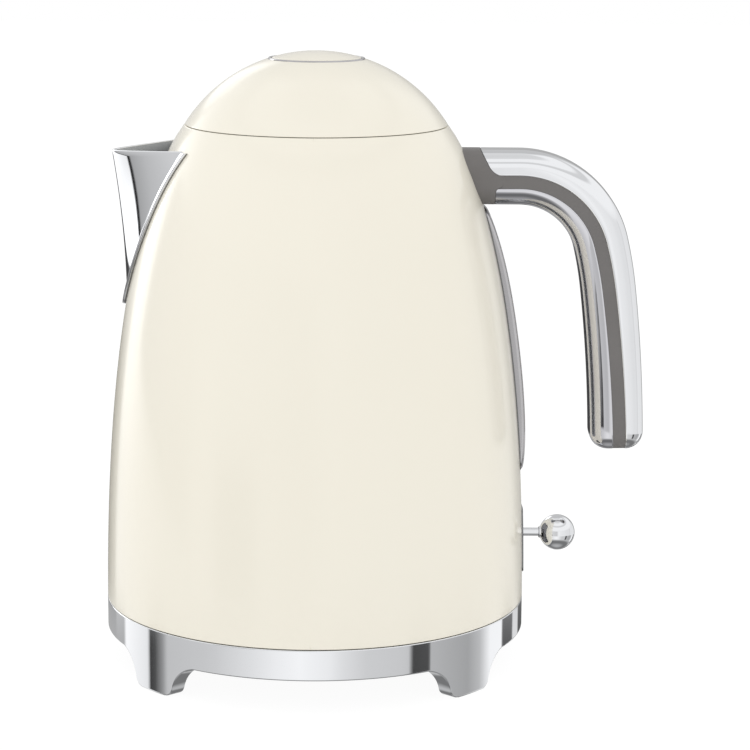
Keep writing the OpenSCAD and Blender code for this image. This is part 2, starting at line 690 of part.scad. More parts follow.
// Point of the spout's wall in the loop of height z, u from -1 to 1 across it, t inside its outer face
function spout_point(z, rise, w, u, t) = let (zu = z + rise * ridge_shape(abs(u)), y = (w - t) * u,
    top = ridge_x(z) + 1.2 * t, x = top + (root_x(w - t, z + rise, 0.02) - top) * ridge_shape(abs(u)))
    [t > 0 ? min(x, root_x(y, zu, 0.02)) : x, y, zu];
function spout_loop(k) = let (z = spout_z + spout_h * k * k, w = spout_w * k, rise = rim_rise * pow(k, 6))
    concat([for (j = [-spout_half:spout_half]) spout_point(z, rise, w, j / spout_half, 0)],
        [for (j = [spout_half:-1:-spout_half]) spout_point(z, rise, w, j / spout_half, min(spout_t, w / 3))]);
module spout() at_axis() color(chrome)
    skin([for (i = [0:spout_levels]) spout_loop(spout_first + (1 - spout_first) * i / spout_levels)]);
function trim_point(q, out, proud) = let (w = spout_w + out, z0 = spout_z - 0.5 * out, y = w * q,
    z = z0 + (spout_top + rim_rise - z0) * q * q, grow = (wall_r(z) + proud) / wall_r(z))
    [root_x(y, z) * grow, y * grow, z];
function trim_loop(q) = [trim_point(q, 0.1, trim_gap), trim_point(q, 0.1, trim_t),
    trim_point(q, trim_w, trim_t), trim_point(q, trim_w, trim_gap)];
module spout_trim() at_axis() color(chrome)
    skin([for (i = [-trim_levels:trim_levels]) trim_loop(i / trim_levels)]);
module filter_frame() at_axis() color(black) difference() {
    wall_band(filter_z, filter_top, filter_inset, filter_inset + filter_t, filter_angle, 180);
    plate_x(-body_r, -20) filter_window();
}
module filter_window() translate([-mesh_side / 2, pour_low]) square([mesh_side, pour_top - pour_low]);
module filter_mesh() at_axis() color(steel) intersection() {
    difference() {
        wall_band(filter_z + 1, filter_top - 1, filter_inset + 0.5, filter_inset + 0.5 + mesh_t, filter_angle - 1, 180);
        plate_x(-body_r, -20) for (y = [-mesh_side / 2 + mesh_pitch / 2:mesh_pitch:mesh_side / 2 - mesh_hole],
            z = [pour_low + 1:mesh_pitch:pour_top - mesh_hole]) translate([y, z]) square(mesh_hole);
    }
    plate_x(-body_r, -20) filter_window();
}

// ---- Kettle: top collar and hinge ----
module top_collar() at_axis() color(grey) difference() {
    union() {
        difference() {
            union() {
                revolve() {
                    wall_section(collar_z, shell_top, wall_t, wall_t + collar_t);
                    translate([mouth_r, collar_z])
                        square([wall_r(ledge_top, wall_t + 0.5) - mouth_r, ledge_top - collar_z]);
                }
                intersection() {
                    translate([-keeper_x - 20, -bolt_w / 2 - 1, bolt_top + run_gap])
                        cube([20, bolt_w + 2, flange_z - bolt_top - 2 * run_gap - 0.6]);
                    inside_wall(bolt_z, shell_top, wall_t + 0.5);
                }
            }
            translate([mouth_r - 5, -notch_y, collar_z - 1]) cube([seam_r, 2 * notch_y, shell_top - collar_z + 2]);
        }
        intersection() {
            for (side = [-1, 1]) translate([hinge_x - 3.4, side * (notch_y + ear_w / 2) - ear_w / 2, collar_z])
                cube([8, ear_w, hinge_z - collar_z + knuckle_r]);
            inside_wall(collar_z, shell_top, wall_t + 0.3);
        }
    }
    translate([hinge_x, 0, hinge_z]) along_y(-notch_y - ear_w + 0.3, notch_y + ear_w - 0.3, pivot_r);
}
module hinge_pin() at_axis() color(steel)
    translate([hinge_x, 0, hinge_z]) along_y(-notch_y - ear_w + 0.4, notch_y + ear_w - 0.4, pivot_r);
// Coil about the hinge pin with two straight legs, one along the collar and one along the arms
spring_turns = 4;
coil_r = pivot_r + 0.75;
coil_wire_r = 0.4;
coil_sides = 8;
function coil_ring(a, y, shift) = [for (k = [0:coil_sides - 1]) let (b = 360 * k / coil_sides,
    r = coil_r + coil_wire_r * cos(b))
    [hinge_x + r * cos(a) - shift * sin(a), y + coil_wire_r * sin(b), hinge_z + r * sin(a) + shift * cos(a)]];
module lid_spring() at_axis() color(steel)
    skin(concat([coil_ring(200, -3.4, 4)],
        [for (i = [0:16 * spring_turns]) coil_ring(200 - i * 360 / 16, -3.4 + 6.8 * i / 16 / spring_turns, 0)],
        [coil_ring(200 - 360 * spring_turns, 3.4, -4)]));

// ---- Handle ----
handle_screw_heights = [handle_z - 6, handle_z + 3];
mount_in = body_r / 2;
module handle_section() round_rect(handle_d, handle_w, handle_corner_r);
// Side outline ahead of which only the grey core shows
module shell_front() plate_y(-handle_w, handle_w) polygon([
    [shell_start, 0], [300, 0], [300, 300],
    [shell_start - tan(shell_slope) * (300 - handle_z), 300], [shell_start, handle_z]]);
// Middle line of the handle from the plated shells' start: point, angle, and share of the end's rounding
function along_arc(p, a, r, turn, n) = [for (i = [1:n]) [bend_end(p, a, r, turn * i / n), a + turn * i / n, 0]];
STATIONS = concat([[[shell_start, handle_z], 0, 0], [BEND_0, 0, 0]],
    along_arc(BEND_0, 0, bend_r, bend_angle, 14),
    along_arc(BEND_1, bend_angle, sweep_r, sweep_angle, 4),
    along_arc(BEND_2, leg_start, leg_r, leg_angle * (1 - handle_end_r / leg_l), 6),
    [for (f = [15:15:90]) let (turn = leg_angle * (1 - handle_end_r * (1 - sin(f)) / leg_l))
        [bend_end(BEND_2, leg_start, leg_r, turn), leg_start + turn, 1 - cos(f)]]);
// Depths of the strip's two edges; the strip drifts outwards along the handle
function strip_edge(k, side) = side * strip_w / 2 - strip_shift
    + strip_drift * (handle_z - STATIONS[k][0][1]) / (handle_z - handle_end_z);
function place(k, d, y) = let (a = STATIONS[k][1])
    [STATIONS[k][0][0] + d * sin(a), y, STATIONS[k][0][1] + d * cos(a)];
function strip_loop(k) = let (y = handle_w / 2 - strip_depth - handle_end_r * STATIONS[k][2],
    low = strip_edge(k, -1) - 0.02, high = strip_edge(k, 1) + 0.02)
    [place(k, high, -y), place(k, high, y), place(k, low, y), place(k, low, -y)];
module handle_core() at_axis() color(grey) {
    difference() {
        translate([mount_in, 0, handle_z]) rotate([0, 90, 0]) rotate([0, 0, 180])
            linear_extrude(handle_run - mount_in)
            handle_section();
        shell_front();
        inside_wall(handle_z - 30, seam_z, 0);
        for (z = handle_screw_heights) translate([0, 0, z]) along_x(mount_in, shell_start - 2, screw_r);
    }
    skin([for (k = [0:len(STATIONS) - 1]) strip_loop(k)]);
    translate([BEND_3[0], 0, handle_end_z + 5]) linear_extrude(5)
        round_rect(handle_d - 2 * handle_t - 0.9, handle_w - 2 * handle_t - 0.9, handle_corner_r - handle_t);
}
corner_d = handle_d / 2 - handle_corner_r;
corner_y = handle_w / 2 - handle_corner_r;
corner_steps = 8;
function corner_arc(f0, r, n) = [for (i = [0:n]) let (f = f0 + (90 - f0) * i / n)
    [corner_d + r * sin(f), corner_y + r * cos(f)]];
// Half of a shell's outline, from its edge at depth low round the corner of radius r
function half_outline(low, r) = low < corner_d - 0.05
    ? concat([[low, corner_y + r]], corner_arc(0, r, corner_steps))
    : corner_arc(asin(max(0, min(0.95, (low - corner_d) / r))), r, corner_steps + 1);
function outline(low, r) = let (half = half_outline(low, r))
    concat(half, [for (p = reversed(half)) [p[0], -p[1]]]);
function shell_loop(k, side) = let (r = handle_corner_r - handle_end_r * STATIONS[k][2],
    low = side * strip_edge(k, side), slope = k == 0 && side > 0 ? tan(shell_slope) : 0)
    [for (p = concat(outline(low, r), reversed(outline(low, max(r - handle_t, 0.5)))))
        place(k, side * p[0], p[1]) - [p[0] * slope, 0, 0]];
module half_shell(side) skin([for (k = [0:len(STATIONS) - 1])
    side > 0 ? shell_loop(k, side) : reversed(shell_loop(k, side))]);
module handle_outer_shell() at_axis() color(chrome) half_shell(1);
module handle_inner_shell() at_axis() color(chrome) half_shell(-1);
module handle_screws() at_axis() color(steel) for (z = handle_screw_heights) translate([0, 0, z]) {
    head_x = wall_r(z + 3, wall_t);
    along_x(head_x - 2, head_x - 0.1, 3);
    along_x(head_x - 0.2, shell_start - 2.5, screw_r);
}

// ---- Water gauge ----
gauge_top = handle_z - handle_d / 2 - gauge_gap;
gauge_angle = asin(gauge_w / 2 / body_r);
slot_angle = asin((gauge_w / 2 - gauge_border) / body_r);
gauge_steps = 20;
// Crowned outer line of the gauge, lowered by drop
function gauge_point(i, drop) = let (t = (1 - cos(180 * i / gauge_steps)) / 2,
    z = gauge_z + t * (gauge_top - gauge_z))
    [wall_r(z) + gauge_proud * sqrt(1 - pow(abs(2 * t - 1), 3)) - drop, z];
module gauge_band(drop, inset, half_angle) revolve(-half_angle, 2 * half_angle)
    polygon(concat(wall_line(gauge_z, gauge_top, inset),
        [for (i = [gauge_steps - 1:-1:1]) gauge_point(i, drop)]));
module gauge_slot(inset_in, inset_out)
    wall_band(gauge_z + gauge_border, gauge_top - gauge_border, inset_out, inset_in, slot_angle);
module gauge_frame() at_axis() color(chrome) difference() {
    gauge_band(0, 0, gauge_angle);
    gauge_slot(1, -gauge_proud - 1);
}
module gauge_window() at_axis() color(clear) intersection() {
    gauge_band(window_drop, wall_t, slot_angle);
    ring(body_r + 2 * gauge_proud, 0, gauge_z + gauge_border, gauge_top - gauge_border);
}
module gauge_seal() at_axis() color(black) difference() {
    wall_band(gauge_z + 2, gauge_top - 2, wall_t, wall_t + 1.5, slot_angle + 1.5);
    gauge_slot(wall_t + 2.5, 0);
}

// ---- Lid ----
module lid_dome() at_axis() color(cream) revolve() intersection() {
    translate([0, dome_z]) difference() {
        circle(dome_r);
        circle(dome_r - dome_t);
    }
    translate([button_ring_r, lid_z]) square([dome_r, lid_h]);
}
function dome_inner(r) = dome_z + sqrt(pow(dome_r - dome_t, 2) - r * r);
module button_ring() at_axis() color(chrome) revolve()
    polygon([[button_ring_r - button_ring_t, button_edge_z], [button_ring_r, button_edge_z],
        [button_ring_r, dome_inner(button_ring_r)], [button_ring_r + 2, dome_inner(button_ring_r + 2)],
        [button_ring_r + 2, button_edge_z - 5], [button_ring_r - button_ring_t, button_edge_z - 7]]);
module hinge_arm_outline() {
    translate([hinge_x, hinge_z]) {
        circle(knuckle_r);
        rotate(215) translate([0, -2]) square([arm_out - 0.5, 4]);
        intersection() {
            difference() {
                circle(arm_out);
                circle(arm_in);
            }
            polygon([[0, 0], 30 * [cos(160), sin(160)], 30 * [cos(188), sin(188)], 30 * [cos(219), sin(219)]]);
        }
    }
}
module lid_inner() at_axis() color(grey) difference() {
    union() {
        revolve() {
            translate([0, plate_low]) square([plate_r, inner_t]);
            translate([0, plug_low]) square([plug_r, plate_low - plug_low + eps]);
            polygon([[plate_r - inner_t, plate_low], [plate_r, plate_low], [cup_top_r, flange_z + flange_t],
                [cup_top_r - inner_t, flange_z + flange_t]]);
            polygon([[cup_top_r - 1, flange_z], [inner_rim_r(flange_z), flange_z],
                [inner_rim_r(flange_z + flange_t), flange_z + flange_t], [cup_top_r - 1, flange_z + flange_t]]);
        }
        for (side = [-1, 1]) plate_y(side > 0 ? arm_y : -arm_y - arm_t, side > 0 ? arm_y + arm_t : -arm_y)
            hinge_arm_outline();
    }
    translate([hinge_x, 0, hinge_z]) along_y(-20, 20, pivot_r + 0.05);
    translate([-keeper_x - 10, -bolt_w / 2 - 0.3, bolt_z - 0.3]) cube([30, bolt_w + 0.6, bolt_t + 0.6]);
    lid_screw_places() {
        translate([0, 0, plug_low - 1]) cylinder(h = 2.4, r = 3);
        translate([0, 0, plug_low]) cylinder(h = 10, r = lid_screw_r);
    }
}
function inner_rim_r(z) = sqrt(pow(dome_r - dome_t, 2) - pow(z - dome_z, 2)) - 0.02;
module lid_seal() at_axis() color(black) ring(plug_r + seal_t, plug_r, plug_low + 0.3, ledge_top + 0.4);
module lid_screw_places() for (side = [-1, 1]) translate([0, side * guide_leg_y, 0]) children();
module lid_guide() at_axis() color(grey) difference() {
    union() {
        ring(guide_r, 0, guide_z, guide_z + guide_t);
        ring(guide_tube_r, 0, guide_z, guide_top);
        lid_screw_places() translate([0, 0, plate_top]) cylinder(h = guide_z - plate_top + eps, r = 3.4);
    }
    translate([0, 0, guide_z - 1]) cylinder(h = 20, r = stem_r + 0.1);
    lid_screw_places() translate([0, 0, plate_top - 1]) cylinder(h = 6, r = lid_screw_r);
}
module lid_screws() at_axis() color(steel) lid_screw_places() {
    translate([0, 0, plug_low]) cylinder(h = 1.4, r = 2.8);
    translate([0, 0, plug_low + 1.4 - eps]) cylinder(h = plate_top + 3 - plug_low, r = lid_screw_r);
}
module lid_button() at_axis() color(cream) {
    revolve() {
        intersection() {
            translate([0, dome_z]) circle(dome_r);
            translate([0, button_floor]) square([button_r, 20]);
        }
        translate([button_r - 1.5, skirt_low]) square([1.5, button_floor - skirt_low + eps]);
    }
    difference() {
        ring(stem_r, 0, wedge_low, button_floor + eps);
        plate_y(-10, 10) polygon([[-1, wedge_low - eps], [10, wedge_low - eps], [10, wedge_low + 11], [-1 + eps, wedge_low]]);
    }
}
module latch_bolt() at_axis() color(steel) difference() {
    translate([-bolt_nose, -bolt_w / 2, bolt_z]) cube([bolt_nose + 8, bolt_w, bolt_t]);
    plate_y(-stem_r - 0.3, stem_r + 0.3) polygon([
        [-stem_r - button_travel - 0.3, bolt_z - 1], [bolt_z - 1 - wedge_low - 0.6, bolt_z - 1],
        [bolt_top + 1 - wedge_low - 0.6, bolt_top + 1], [-stem_r - button_travel - 0.3, bolt_top + 1]]);
}
button_spring_turns = 5;
function spring_ring(a, z) = [for (k = [0:coil_sides - 1]) let (b = 360 * k / coil_sides,
    r = spring_r + spring_wire_r * cos(b)) [r * cos(a), r * sin(a), z + spring_wire_r * sin(b)]];
module button_spring() at_axis() color(steel) {
    low = guide_top + spring_wire_r + 0.05;
    rise = button_floor - guide_top - 2 * spring_wire_r - 0.1;
    skin([for (i = [0:18 * button_spring_turns]) spring_ring(i * 20, low + rise * i / 18 / button_spring_turns)]);
}

base_ring();
base_deck();
base_cover();
foot_pads();
base_connector();
base_contacts();
base_leads();
base_screws();
cord_outlet();
kettle_socket();
socket_pins();
body_shell();
bottom_housing();
heater_plate();
heat_spreader();
heating_element();
element_terminals();
control_unit();
control_screws();
bimetal_discs();
steam_tube();
lever_bracket();
lever_pin();
lever_plate();
lever();
lever_ball();
trip_link();
spout();
spout_trim();
filter_frame();
filter_mesh();
top_collar();
hinge_pin();
lid_spring();
handle_core();
handle_outer_shell();
handle_inner_shell();
handle_screws();
gauge_frame();
gauge_window();
gauge_seal();
lid_dome();
lid_inner();
lid_seal();
lid_guide();
lid_screws();
button_ring();
lid_button();
button_spring();
latch_bolt();
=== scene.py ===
import json
import math

import bmesh
import bpy
import numpy as np
from mathutils import Matrix, Vector
from mathutils.geometry import delaunay_2d_cdt


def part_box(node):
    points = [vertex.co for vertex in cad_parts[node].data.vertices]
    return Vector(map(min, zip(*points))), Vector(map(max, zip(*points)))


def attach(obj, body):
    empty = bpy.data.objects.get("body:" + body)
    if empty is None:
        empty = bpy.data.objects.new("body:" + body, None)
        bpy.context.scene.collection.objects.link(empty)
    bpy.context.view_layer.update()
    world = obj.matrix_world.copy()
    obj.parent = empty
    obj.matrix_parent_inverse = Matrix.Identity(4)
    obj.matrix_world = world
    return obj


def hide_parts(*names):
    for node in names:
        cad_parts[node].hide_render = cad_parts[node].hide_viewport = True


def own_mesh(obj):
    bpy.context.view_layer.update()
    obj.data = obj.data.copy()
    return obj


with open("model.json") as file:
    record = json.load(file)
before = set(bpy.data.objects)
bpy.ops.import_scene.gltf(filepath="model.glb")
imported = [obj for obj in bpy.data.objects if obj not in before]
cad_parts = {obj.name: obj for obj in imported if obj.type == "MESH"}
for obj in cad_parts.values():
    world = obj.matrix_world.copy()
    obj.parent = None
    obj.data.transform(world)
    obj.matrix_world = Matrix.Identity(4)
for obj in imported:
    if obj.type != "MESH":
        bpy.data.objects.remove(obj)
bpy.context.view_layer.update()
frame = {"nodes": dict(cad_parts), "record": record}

# Sizes are in millimetres, measured from the kettle's own upright axis, as in the solids' source.
MM = 0.001
lowest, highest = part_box("base_ring")
AXIS_X = (lowest[0] + highest[0]) / 2

KETTLE_H = 249.4
BODY_R = 85.7
WALL_T = 1.0
WALL_FULLNESS = 0.82
LID_H = 29.3
DOME_R = 62.4
JOINT_GAP = 0.5
BASE_H = 26.2
SKIRT_Z = 13.9
RING_T = 4.0
FOOT_T = 6.5
FOOT_W = 21.8
FOOT_ANGLE = 47.5
FOOT_CORNER_R = 4.0
PAD_PROUD = 0.6
COVER_Z = SKIRT_Z + 0.8

SEAM_Z = KETTLE_H - LID_H
DOME_Z = KETTLE_H - DOME_R
SEAM_R = math.sqrt(DOME_R ** 2 - (SEAM_Z - DOME_Z) ** 2)
SEAM_HALF = 0.13
SHELL_TOP = SEAM_Z - SEAM_HALF
LID_Z = SEAM_Z + SEAM_HALF
KETTLE_Z = BASE_H + JOINT_GAP
LOW_EDGE = BASE_H + 0.3

HANDLE_Z = KETTLE_H - 49.7
HANDLE_D = 22.0
HANDLE_W = 24.0
HANDLE_CORNER_R = 8.0
HANDLE_END_R = 7.0
HANDLE_T = 1.6
SHELL_START = 72.0
SHELL_SLOPE = math.tan(math.radians(28))
STRIP_W, STRIP_SHIFT, STRIP_DRIFT, STRIP_DEPTH = 5.1, 1.2, 2.2, 0.5
# The handle's middle line runs straight out to HANDLE_RUN, then bends: radius, turn in degrees, and steps.
HANDLE_RUN = 81.5
HANDLE_BENDS = [(34.5, 76.2, 34), (162.8, 6.8, 8), (605.0, math.degrees(65.9 / 605), 16)]

LEVER_Z = KETTLE_Z + 25.2
LEVER_BALL_X = 99.9
BALL_R = 7.3
ROD_R = 1.7
LEVER_PIVOT_X = 70
LEVER_TILT = math.radians(18)
SLOT_CLEAR = 0.4
LEVER_SLOT_W = 2 * (ROD_R + SLOT_CLEAR)
LEVER_SLOT_TOP = LEVER_Z + ROD_R + SLOT_CLEAR
LEVER_SLOT_LOW = (LEVER_Z - (BODY_R - LEVER_PIVOT_X) * math.sin(LEVER_TILT)
                  - ROD_R / math.cos(LEVER_TILT) - SLOT_CLEAR)
PLATE_Z = (LEVER_SLOT_TOP + LEVER_SLOT_LOW) / 2
PLATE_H, PLATE_W, PLATE_T = 26.0, 15.0, 0.6

SPOUT_TOP = KETTLE_H - 40.3
SPOUT_H = 60.5
SPOUT_Z = SPOUT_TOP - SPOUT_H
SPOUT_W = 27.0
SPOUT_T = 1.2
RIM_RISE = 2.2
SPOUT_LEAN = 5.4
RIDGE_POWER = 1.85
RIDGE_ROUND = 0.26
TRIM_W, TRIM_T, TRIM_GAP = 4.0, 1.6, 0.12
POUR_W, POUR_LOW, POUR_TOP = SPOUT_W - 4, SPOUT_Z + 8, SPOUT_TOP - 4

GAUGE_LOW = 79.4
GAUGE_TOP = HANDLE_Z - HANDLE_D / 2 - 1
GAUGE_W, GAUGE_PROUD, GAUGE_BORDER, WINDOW_DROP = 19.0, 3.5, 4.0, 1.0

DOME_T = 1.2
BUTTON_RING_R = 19.4
BUTTON_RING_T = 1.2
BUTTON_R = BUTTON_RING_R - BUTTON_RING_T - 0.3
BUTTON_EDGE_Z = DOME_Z + math.sqrt(DOME_R ** 2 - BUTTON_R ** 2)
BUTTON_FLOOR = BUTTON_EDGE_Z - 5.4


# ---- Node trees ----
class Wire:
    """One socket of a node tree that sums, products and the like are written on."""

    def __init__(self, graph, socket):
        self.graph, self.socket = graph, socket

    def maths(self, operation, first, second=None):
        given = {0: first} if second is None else {0: first, 1: second}
        return self.graph.add("ShaderNodeMath", given, operation=operation)

    def __add__(self, other):
        return self.maths("ADD", self, other)

    def __radd__(self, other):
        return self.maths("ADD", other, self)

    def __sub__(self, other):
        return self.maths("SUBTRACT", self, other)

    def __rsub__(self, other):
        return self.maths("SUBTRACT", other, self)

    def __mul__(self, other):
        return self.maths("MULTIPLY", self, other)

    def __rmul__(self, other):
        return self.maths("MULTIPLY", other, self)

    def __truediv__(self, other):
        return self.maths("DIVIDE", self, other)

    def __rtruediv__(self, other):
        return self.maths("DIVIDE", other, self)

    def __mod__(self, other):
        return self.maths("FLOORED_MODULO", self, other)

    def floor(self):
        return self.maths("FLOOR", self)


class Graph:
    """A node tree that grows by one node a call."""

    def __init__(self, tree):
        self.tree = tree

    def add(self, kind, given=None, out=0, stops=None, **settings):
        node = self.tree.nodes.new(kind)
        for name, value in settings.items():
            setattr(node, name, value)
        if stops:
            ramp = node.color_ramp
            while len(ramp.elements) < len(stops):
                ramp.elements.new(0.5)
            for element, (place, value) in zip(ramp.elements, stops):
                element.position = place
                element.color = (value, value, value, 1)
        for name, value in (given or {}).items():
            if isinstance(value, Wire):
                self.tree.links.new(value.socket, node.inputs[name])
            else:
                node.inputs[name].default_value = value
        return Wire(self, node.outputs[out]) if len(node.outputs) else None

    def mix(self, factor, first, second):
        return self.add("ShaderNodeMix", {0: factor, 6: first, 7: second}, out=2, data_type="RGBA")


class Finish(Graph):
    """A material whose patterns lie in the object's own coordinates."""

    def __init__(self, name):
        self.material = bpy.data.materials.new(name)
        self.material.use_nodes = True
        super().__init__(self.material.node_tree)
        self.tree.nodes.clear()
        self.place = self.add("ShaderNodeTexCoord", out="Object")

    def noise(self, scale, detail=2.0, rough=0.5, stretch=(1, 1, 1)):
        place = self.place
        if stretch != (1, 1, 1):
            place = self.add("ShaderNodeMapping", {"Vector": place, "Scale": stretch})
        given = {"Vector": place, "Scale": scale, "Detail": detail, "Roughness": rough}
        return self.add("ShaderNodeTexNoise", given)

    def bump(self, height, distance, strength=1.0):
        return self.add("ShaderNodeBump", {"Height": height, "Distance": distance, "Strength": strength})

    def surface(self, **given):
        names = {key.replace("_", " "): value for key, value in given.items()}
        shader = self.add("ShaderNodeBsdfPrincipled", names)
        self.add("ShaderNodeOutputMaterial", {"Surface": shader})
        return self.material


def rgba(red, green, blue):
    return (red, green, blue, 1)


def cream_enamel():
    f = Finish("cream_enamel")
    tone = f.noise(7.0, 3.0)
    peel = f.noise(620.0, 2.0) + 0.35 * f.noise(1900.0)
    return f.surface(
        Base_Color=f.mix(tone, rgba(0.875, 0.832, 0.716), rgba(0.892, 0.856, 0.752)),
        Roughness=0.17 + 0.05 * f.noise(160.0, 4.0),
        Normal=f.bump(peel, 0.000012, 0.5),
        Coat_Weight=0.2, Coat_Roughness=0.08, IOR=1.5)


def plated(name, dark, pale):
    f = Finish(name)
    wiped = f.noise(240.0, 6.0, 0.7, (1, 1, 0.12))
    haze = f.noise(38.0, 3.0)
    return f.surface(
        Base_Color=f.mix(haze, rgba(*dark), rgba(*pale)),
        Metallic=1.0,
        Roughness=0.028 + 0.05 * wiped * haze,
        Normal=f.bump(f.noise(55.0, 2.0), 0.00004, 0.35))


def moulded(name, dark, pale, rough, grain=1500.0, depth=0.00003):
    f = Finish(name)
    tone = f.noise(45.0, 4.0)
    spark = f.noise(grain, 2.0, 0.6)
    return f.surface(
        Base_Color=f.mix(tone, rgba(*dark), rgba(*pale)),
        Roughness=rough + 0.12 * spark,
        Normal=f.bump(spark, depth, 0.7),
        IOR=1.47)


def metal(name, dark, pale, rough, stretch=(1, 1, 14), depth=0.00002):
    f = Finish(name)
    lines = f.noise(320.0, 5.0, 0.65, stretch)
    tone = f.noise(30.0, 4.0)
    return f.surface(
        Base_Color=f.mix(tone, rgba(*dark), rgba(*pale)),
        Metallic=1.0,
        Roughness=rough + 0.16 * lines,
        Normal=f.bump(lines, depth, 0.5))


def clear_window():
    f = Finish("clear_window")
    haze = f.noise(90.0, 4.0)
    return f.surface(
        Base_Color=f.mix(haze, rgba(0.86, 0.90, 0.91), rgba(0.93, 0.95, 0.95)),
        Roughness=0.03 + 0.05 * haze,
        Normal=f.bump(f.noise(60.0), 0.00003, 0.3),
        Transmission_Weight=0.9, IOR=1.49)


FINISHES = {
    "cream_paint": cream_enamel(),
    "polished_chrome": plated("bright_chrome", (0.83, 0.84, 0.86), (0.87, 0.88, 0.90)),
    # A darker copy of the bright chrome: painted shade, for the handle's inner shell.
    "shaded_chrome": plated("shaded_chrome", (0.65, 0.65, 0.68), (0.69, 0.69, 0.72)),
    # A rougher chrome whose darker colour is painted shade, on the gauge frame, the button ring and the
    # trim's groove.
    "satin_chrome": metal("satin_chrome", (0.50, 0.49, 0.50), (0.58, 0.57, 0.58), 0.10, (1, 1, 8), 0.00001),
    # A darker, bluer chrome: painted shade and reflection, for the skin inside the spout.
    "dull_chrome": metal("dull_chrome", (0.45, 0.48, 0.54), (0.52, 0.55, 0.61), 0.10, (1, 1, 8), 0.00001),
    "shadow_line": metal("shadow_line", (0.20, 0.20, 0.205), (0.26, 0.26, 0.265), 0.12, (1, 1, 8), 0.00001),
    "grey_plastic": moulded("grey_plastic", (0.150, 0.142, 0.138), (0.182, 0.174, 0.170), 0.42),
    "black_plastic": moulded("black_plastic", (0.018, 0.018, 0.019), (0.030, 0.030, 0.031), 0.40),
    "ivory_plastic": moulded("ivory_plastic", (0.66, 0.62, 0.52), (0.74, 0.70, 0.60), 0.44),
    "clear_plastic": clear_window(),
    "steel": metal("plain_steel", (0.50, 0.50, 0.51), (0.60, 0.60, 0.61), 0.20),
    "screw_steel": metal("plated_screws", (0.44, 0.44, 0.46), (0.58, 0.58, 0.59), 0.24, (1, 1, 1)),
    "aluminium": metal("rolled_aluminium", (0.66, 0.66, 0.67), (0.76, 0.76, 0.77), 0.30, (12, 1, 1)),
    "brass": metal("plain_brass", (0.62, 0.44, 0.17), (0.76, 0.58, 0.28), 0.22, (1, 1, 4)),
    "rubber": moulded("black_rubber", (0.020, 0.020, 0.021), (0.036, 0.036, 0.036), 0.70, 900.0, 0.00006),
    "wire_insulation": moulded("wire_insulation", (0.30, 0.10, 0.05), (0.38, 0.15, 0.08), 0.35),
}


# ---- Making pieces ----
def clean(mesh, sharp):
    """Joins the mesh's doubles, turns its faces outwards and smooths it up to the angle sharp."""
    work = bmesh.new()
    work.from_mesh(mesh)
    bmesh.ops.remove_doubles(work, verts=work.verts, dist=2e-7)
    bmesh.ops.dissolve_degenerate(work, edges=work.edges, dist=1e-8)
    if work.calc_volume(signed=True) < 0:
        bmesh.ops.reverse_faces(work, faces=work.faces)
    work.to_mesh(mesh)
    work.free()
    mesh.shade_smooth()
    mesh.set_sharp_from_angle(angle=math.radians(sharp))


def linked(name, data):
    """A new object with that data, put in the scene."""
    thing = bpy.data.objects.new(name, data)
    bpy.context.scene.collection.objects.link(thing)
    return thing


def dress(thing, body, nodes, slot, finish=None):
    """Puts a piece on its body, in place of its solids, in its slot's finish unless it has its own."""
    thing.data.materials.clear()
    thing.data.materials.append(FINISHES[finish or slot])
    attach(thing, body)
    if nodes:
        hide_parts(*nodes)


def piece(name, points, faces, body, nodes, slot, sharp=38, finish=None):
    """A piece from points in millimetres about the kettle's axis."""
    mesh = bpy.data.meshes.new(name)
    mesh.from_pydata([(x * MM + AXIS_X, y * MM, z * MM) for x, y, z in points], [], faces)
    clean(mesh, sharp)
    thing = linked(name, mesh)
    dress(thing, body, nodes, slot, finish)
    return thing


def smooth_copy(node, body, slot, sharp=32):
    """A CAD node's own shape with its doubles merged and its round faces smoothed."""
    source = frame["nodes"][node]
    mesh = source.data.copy()
    mesh.name = node + "_smooth"
    if mesh.has_custom_normals:
        mesh.attributes.remove(mesh.attributes["custom_normal"])
    clean(mesh, sharp)
    thing = linked(node + "_smooth", mesh)
    dress(thing, body, [node], slot)
    return thing


def skin(loops):
    """Faces over equal loops; each runs out along one side and back along the other."""
    n = len(loops[0])
    last = (len(loops) - 1) * n
    faces = [(i + j, i + (j + 1) % n, i + n + (j + 1) % n, i + n + j)
             for i in range(0, last, n) for j in range(n)]
    for j in range(n // 2 - 1):
        faces.append((n - 1 - j, n - 2 - j, j + 1, j))
        faces.append((last + j, last + j + 1, last + n - 2 - j, last + n - 1 - j))
    return [p for loop in loops for p in loop], faces


def rounded(corners, steps=5):
    """Closed outline whose corners (x, z, radius) are rounded."""
    out = []
    for i, corner in enumerate(corners):
        here = Vector(corner[:2])
        radius = corner[2] if len(corner) > 2 else 0
        back = Vector(corners[i - 1][:2]) - here
        ahead = Vector(corners[(i + 1) % len(corners)][:2]) - here
        if not radius:
            out.append(tuple(here))
            continue
        half = back.angle(ahead) / 2
        reach = min(radius / math.tan(half), 0.48 * back.length, 0.48 * ahead.length)
        radius = reach * math.tan(half)
        middle = here + (back.normalized() + ahead.normalized()).normalized() * radius / math.sin(half)
        first, turn = here + back.normalized() * reach - middle, here + ahead.normalized() * reach - middle
        sweep = first.angle_signed(turn)
        for k in range(steps + 1):
            a = -sweep * k / steps
            out.append((middle.x + first.x * math.cos(a) - first.y * math.sin(a),
                        middle.y + first.x * math.sin(a) + first.y * math.cos(a)))
    return out


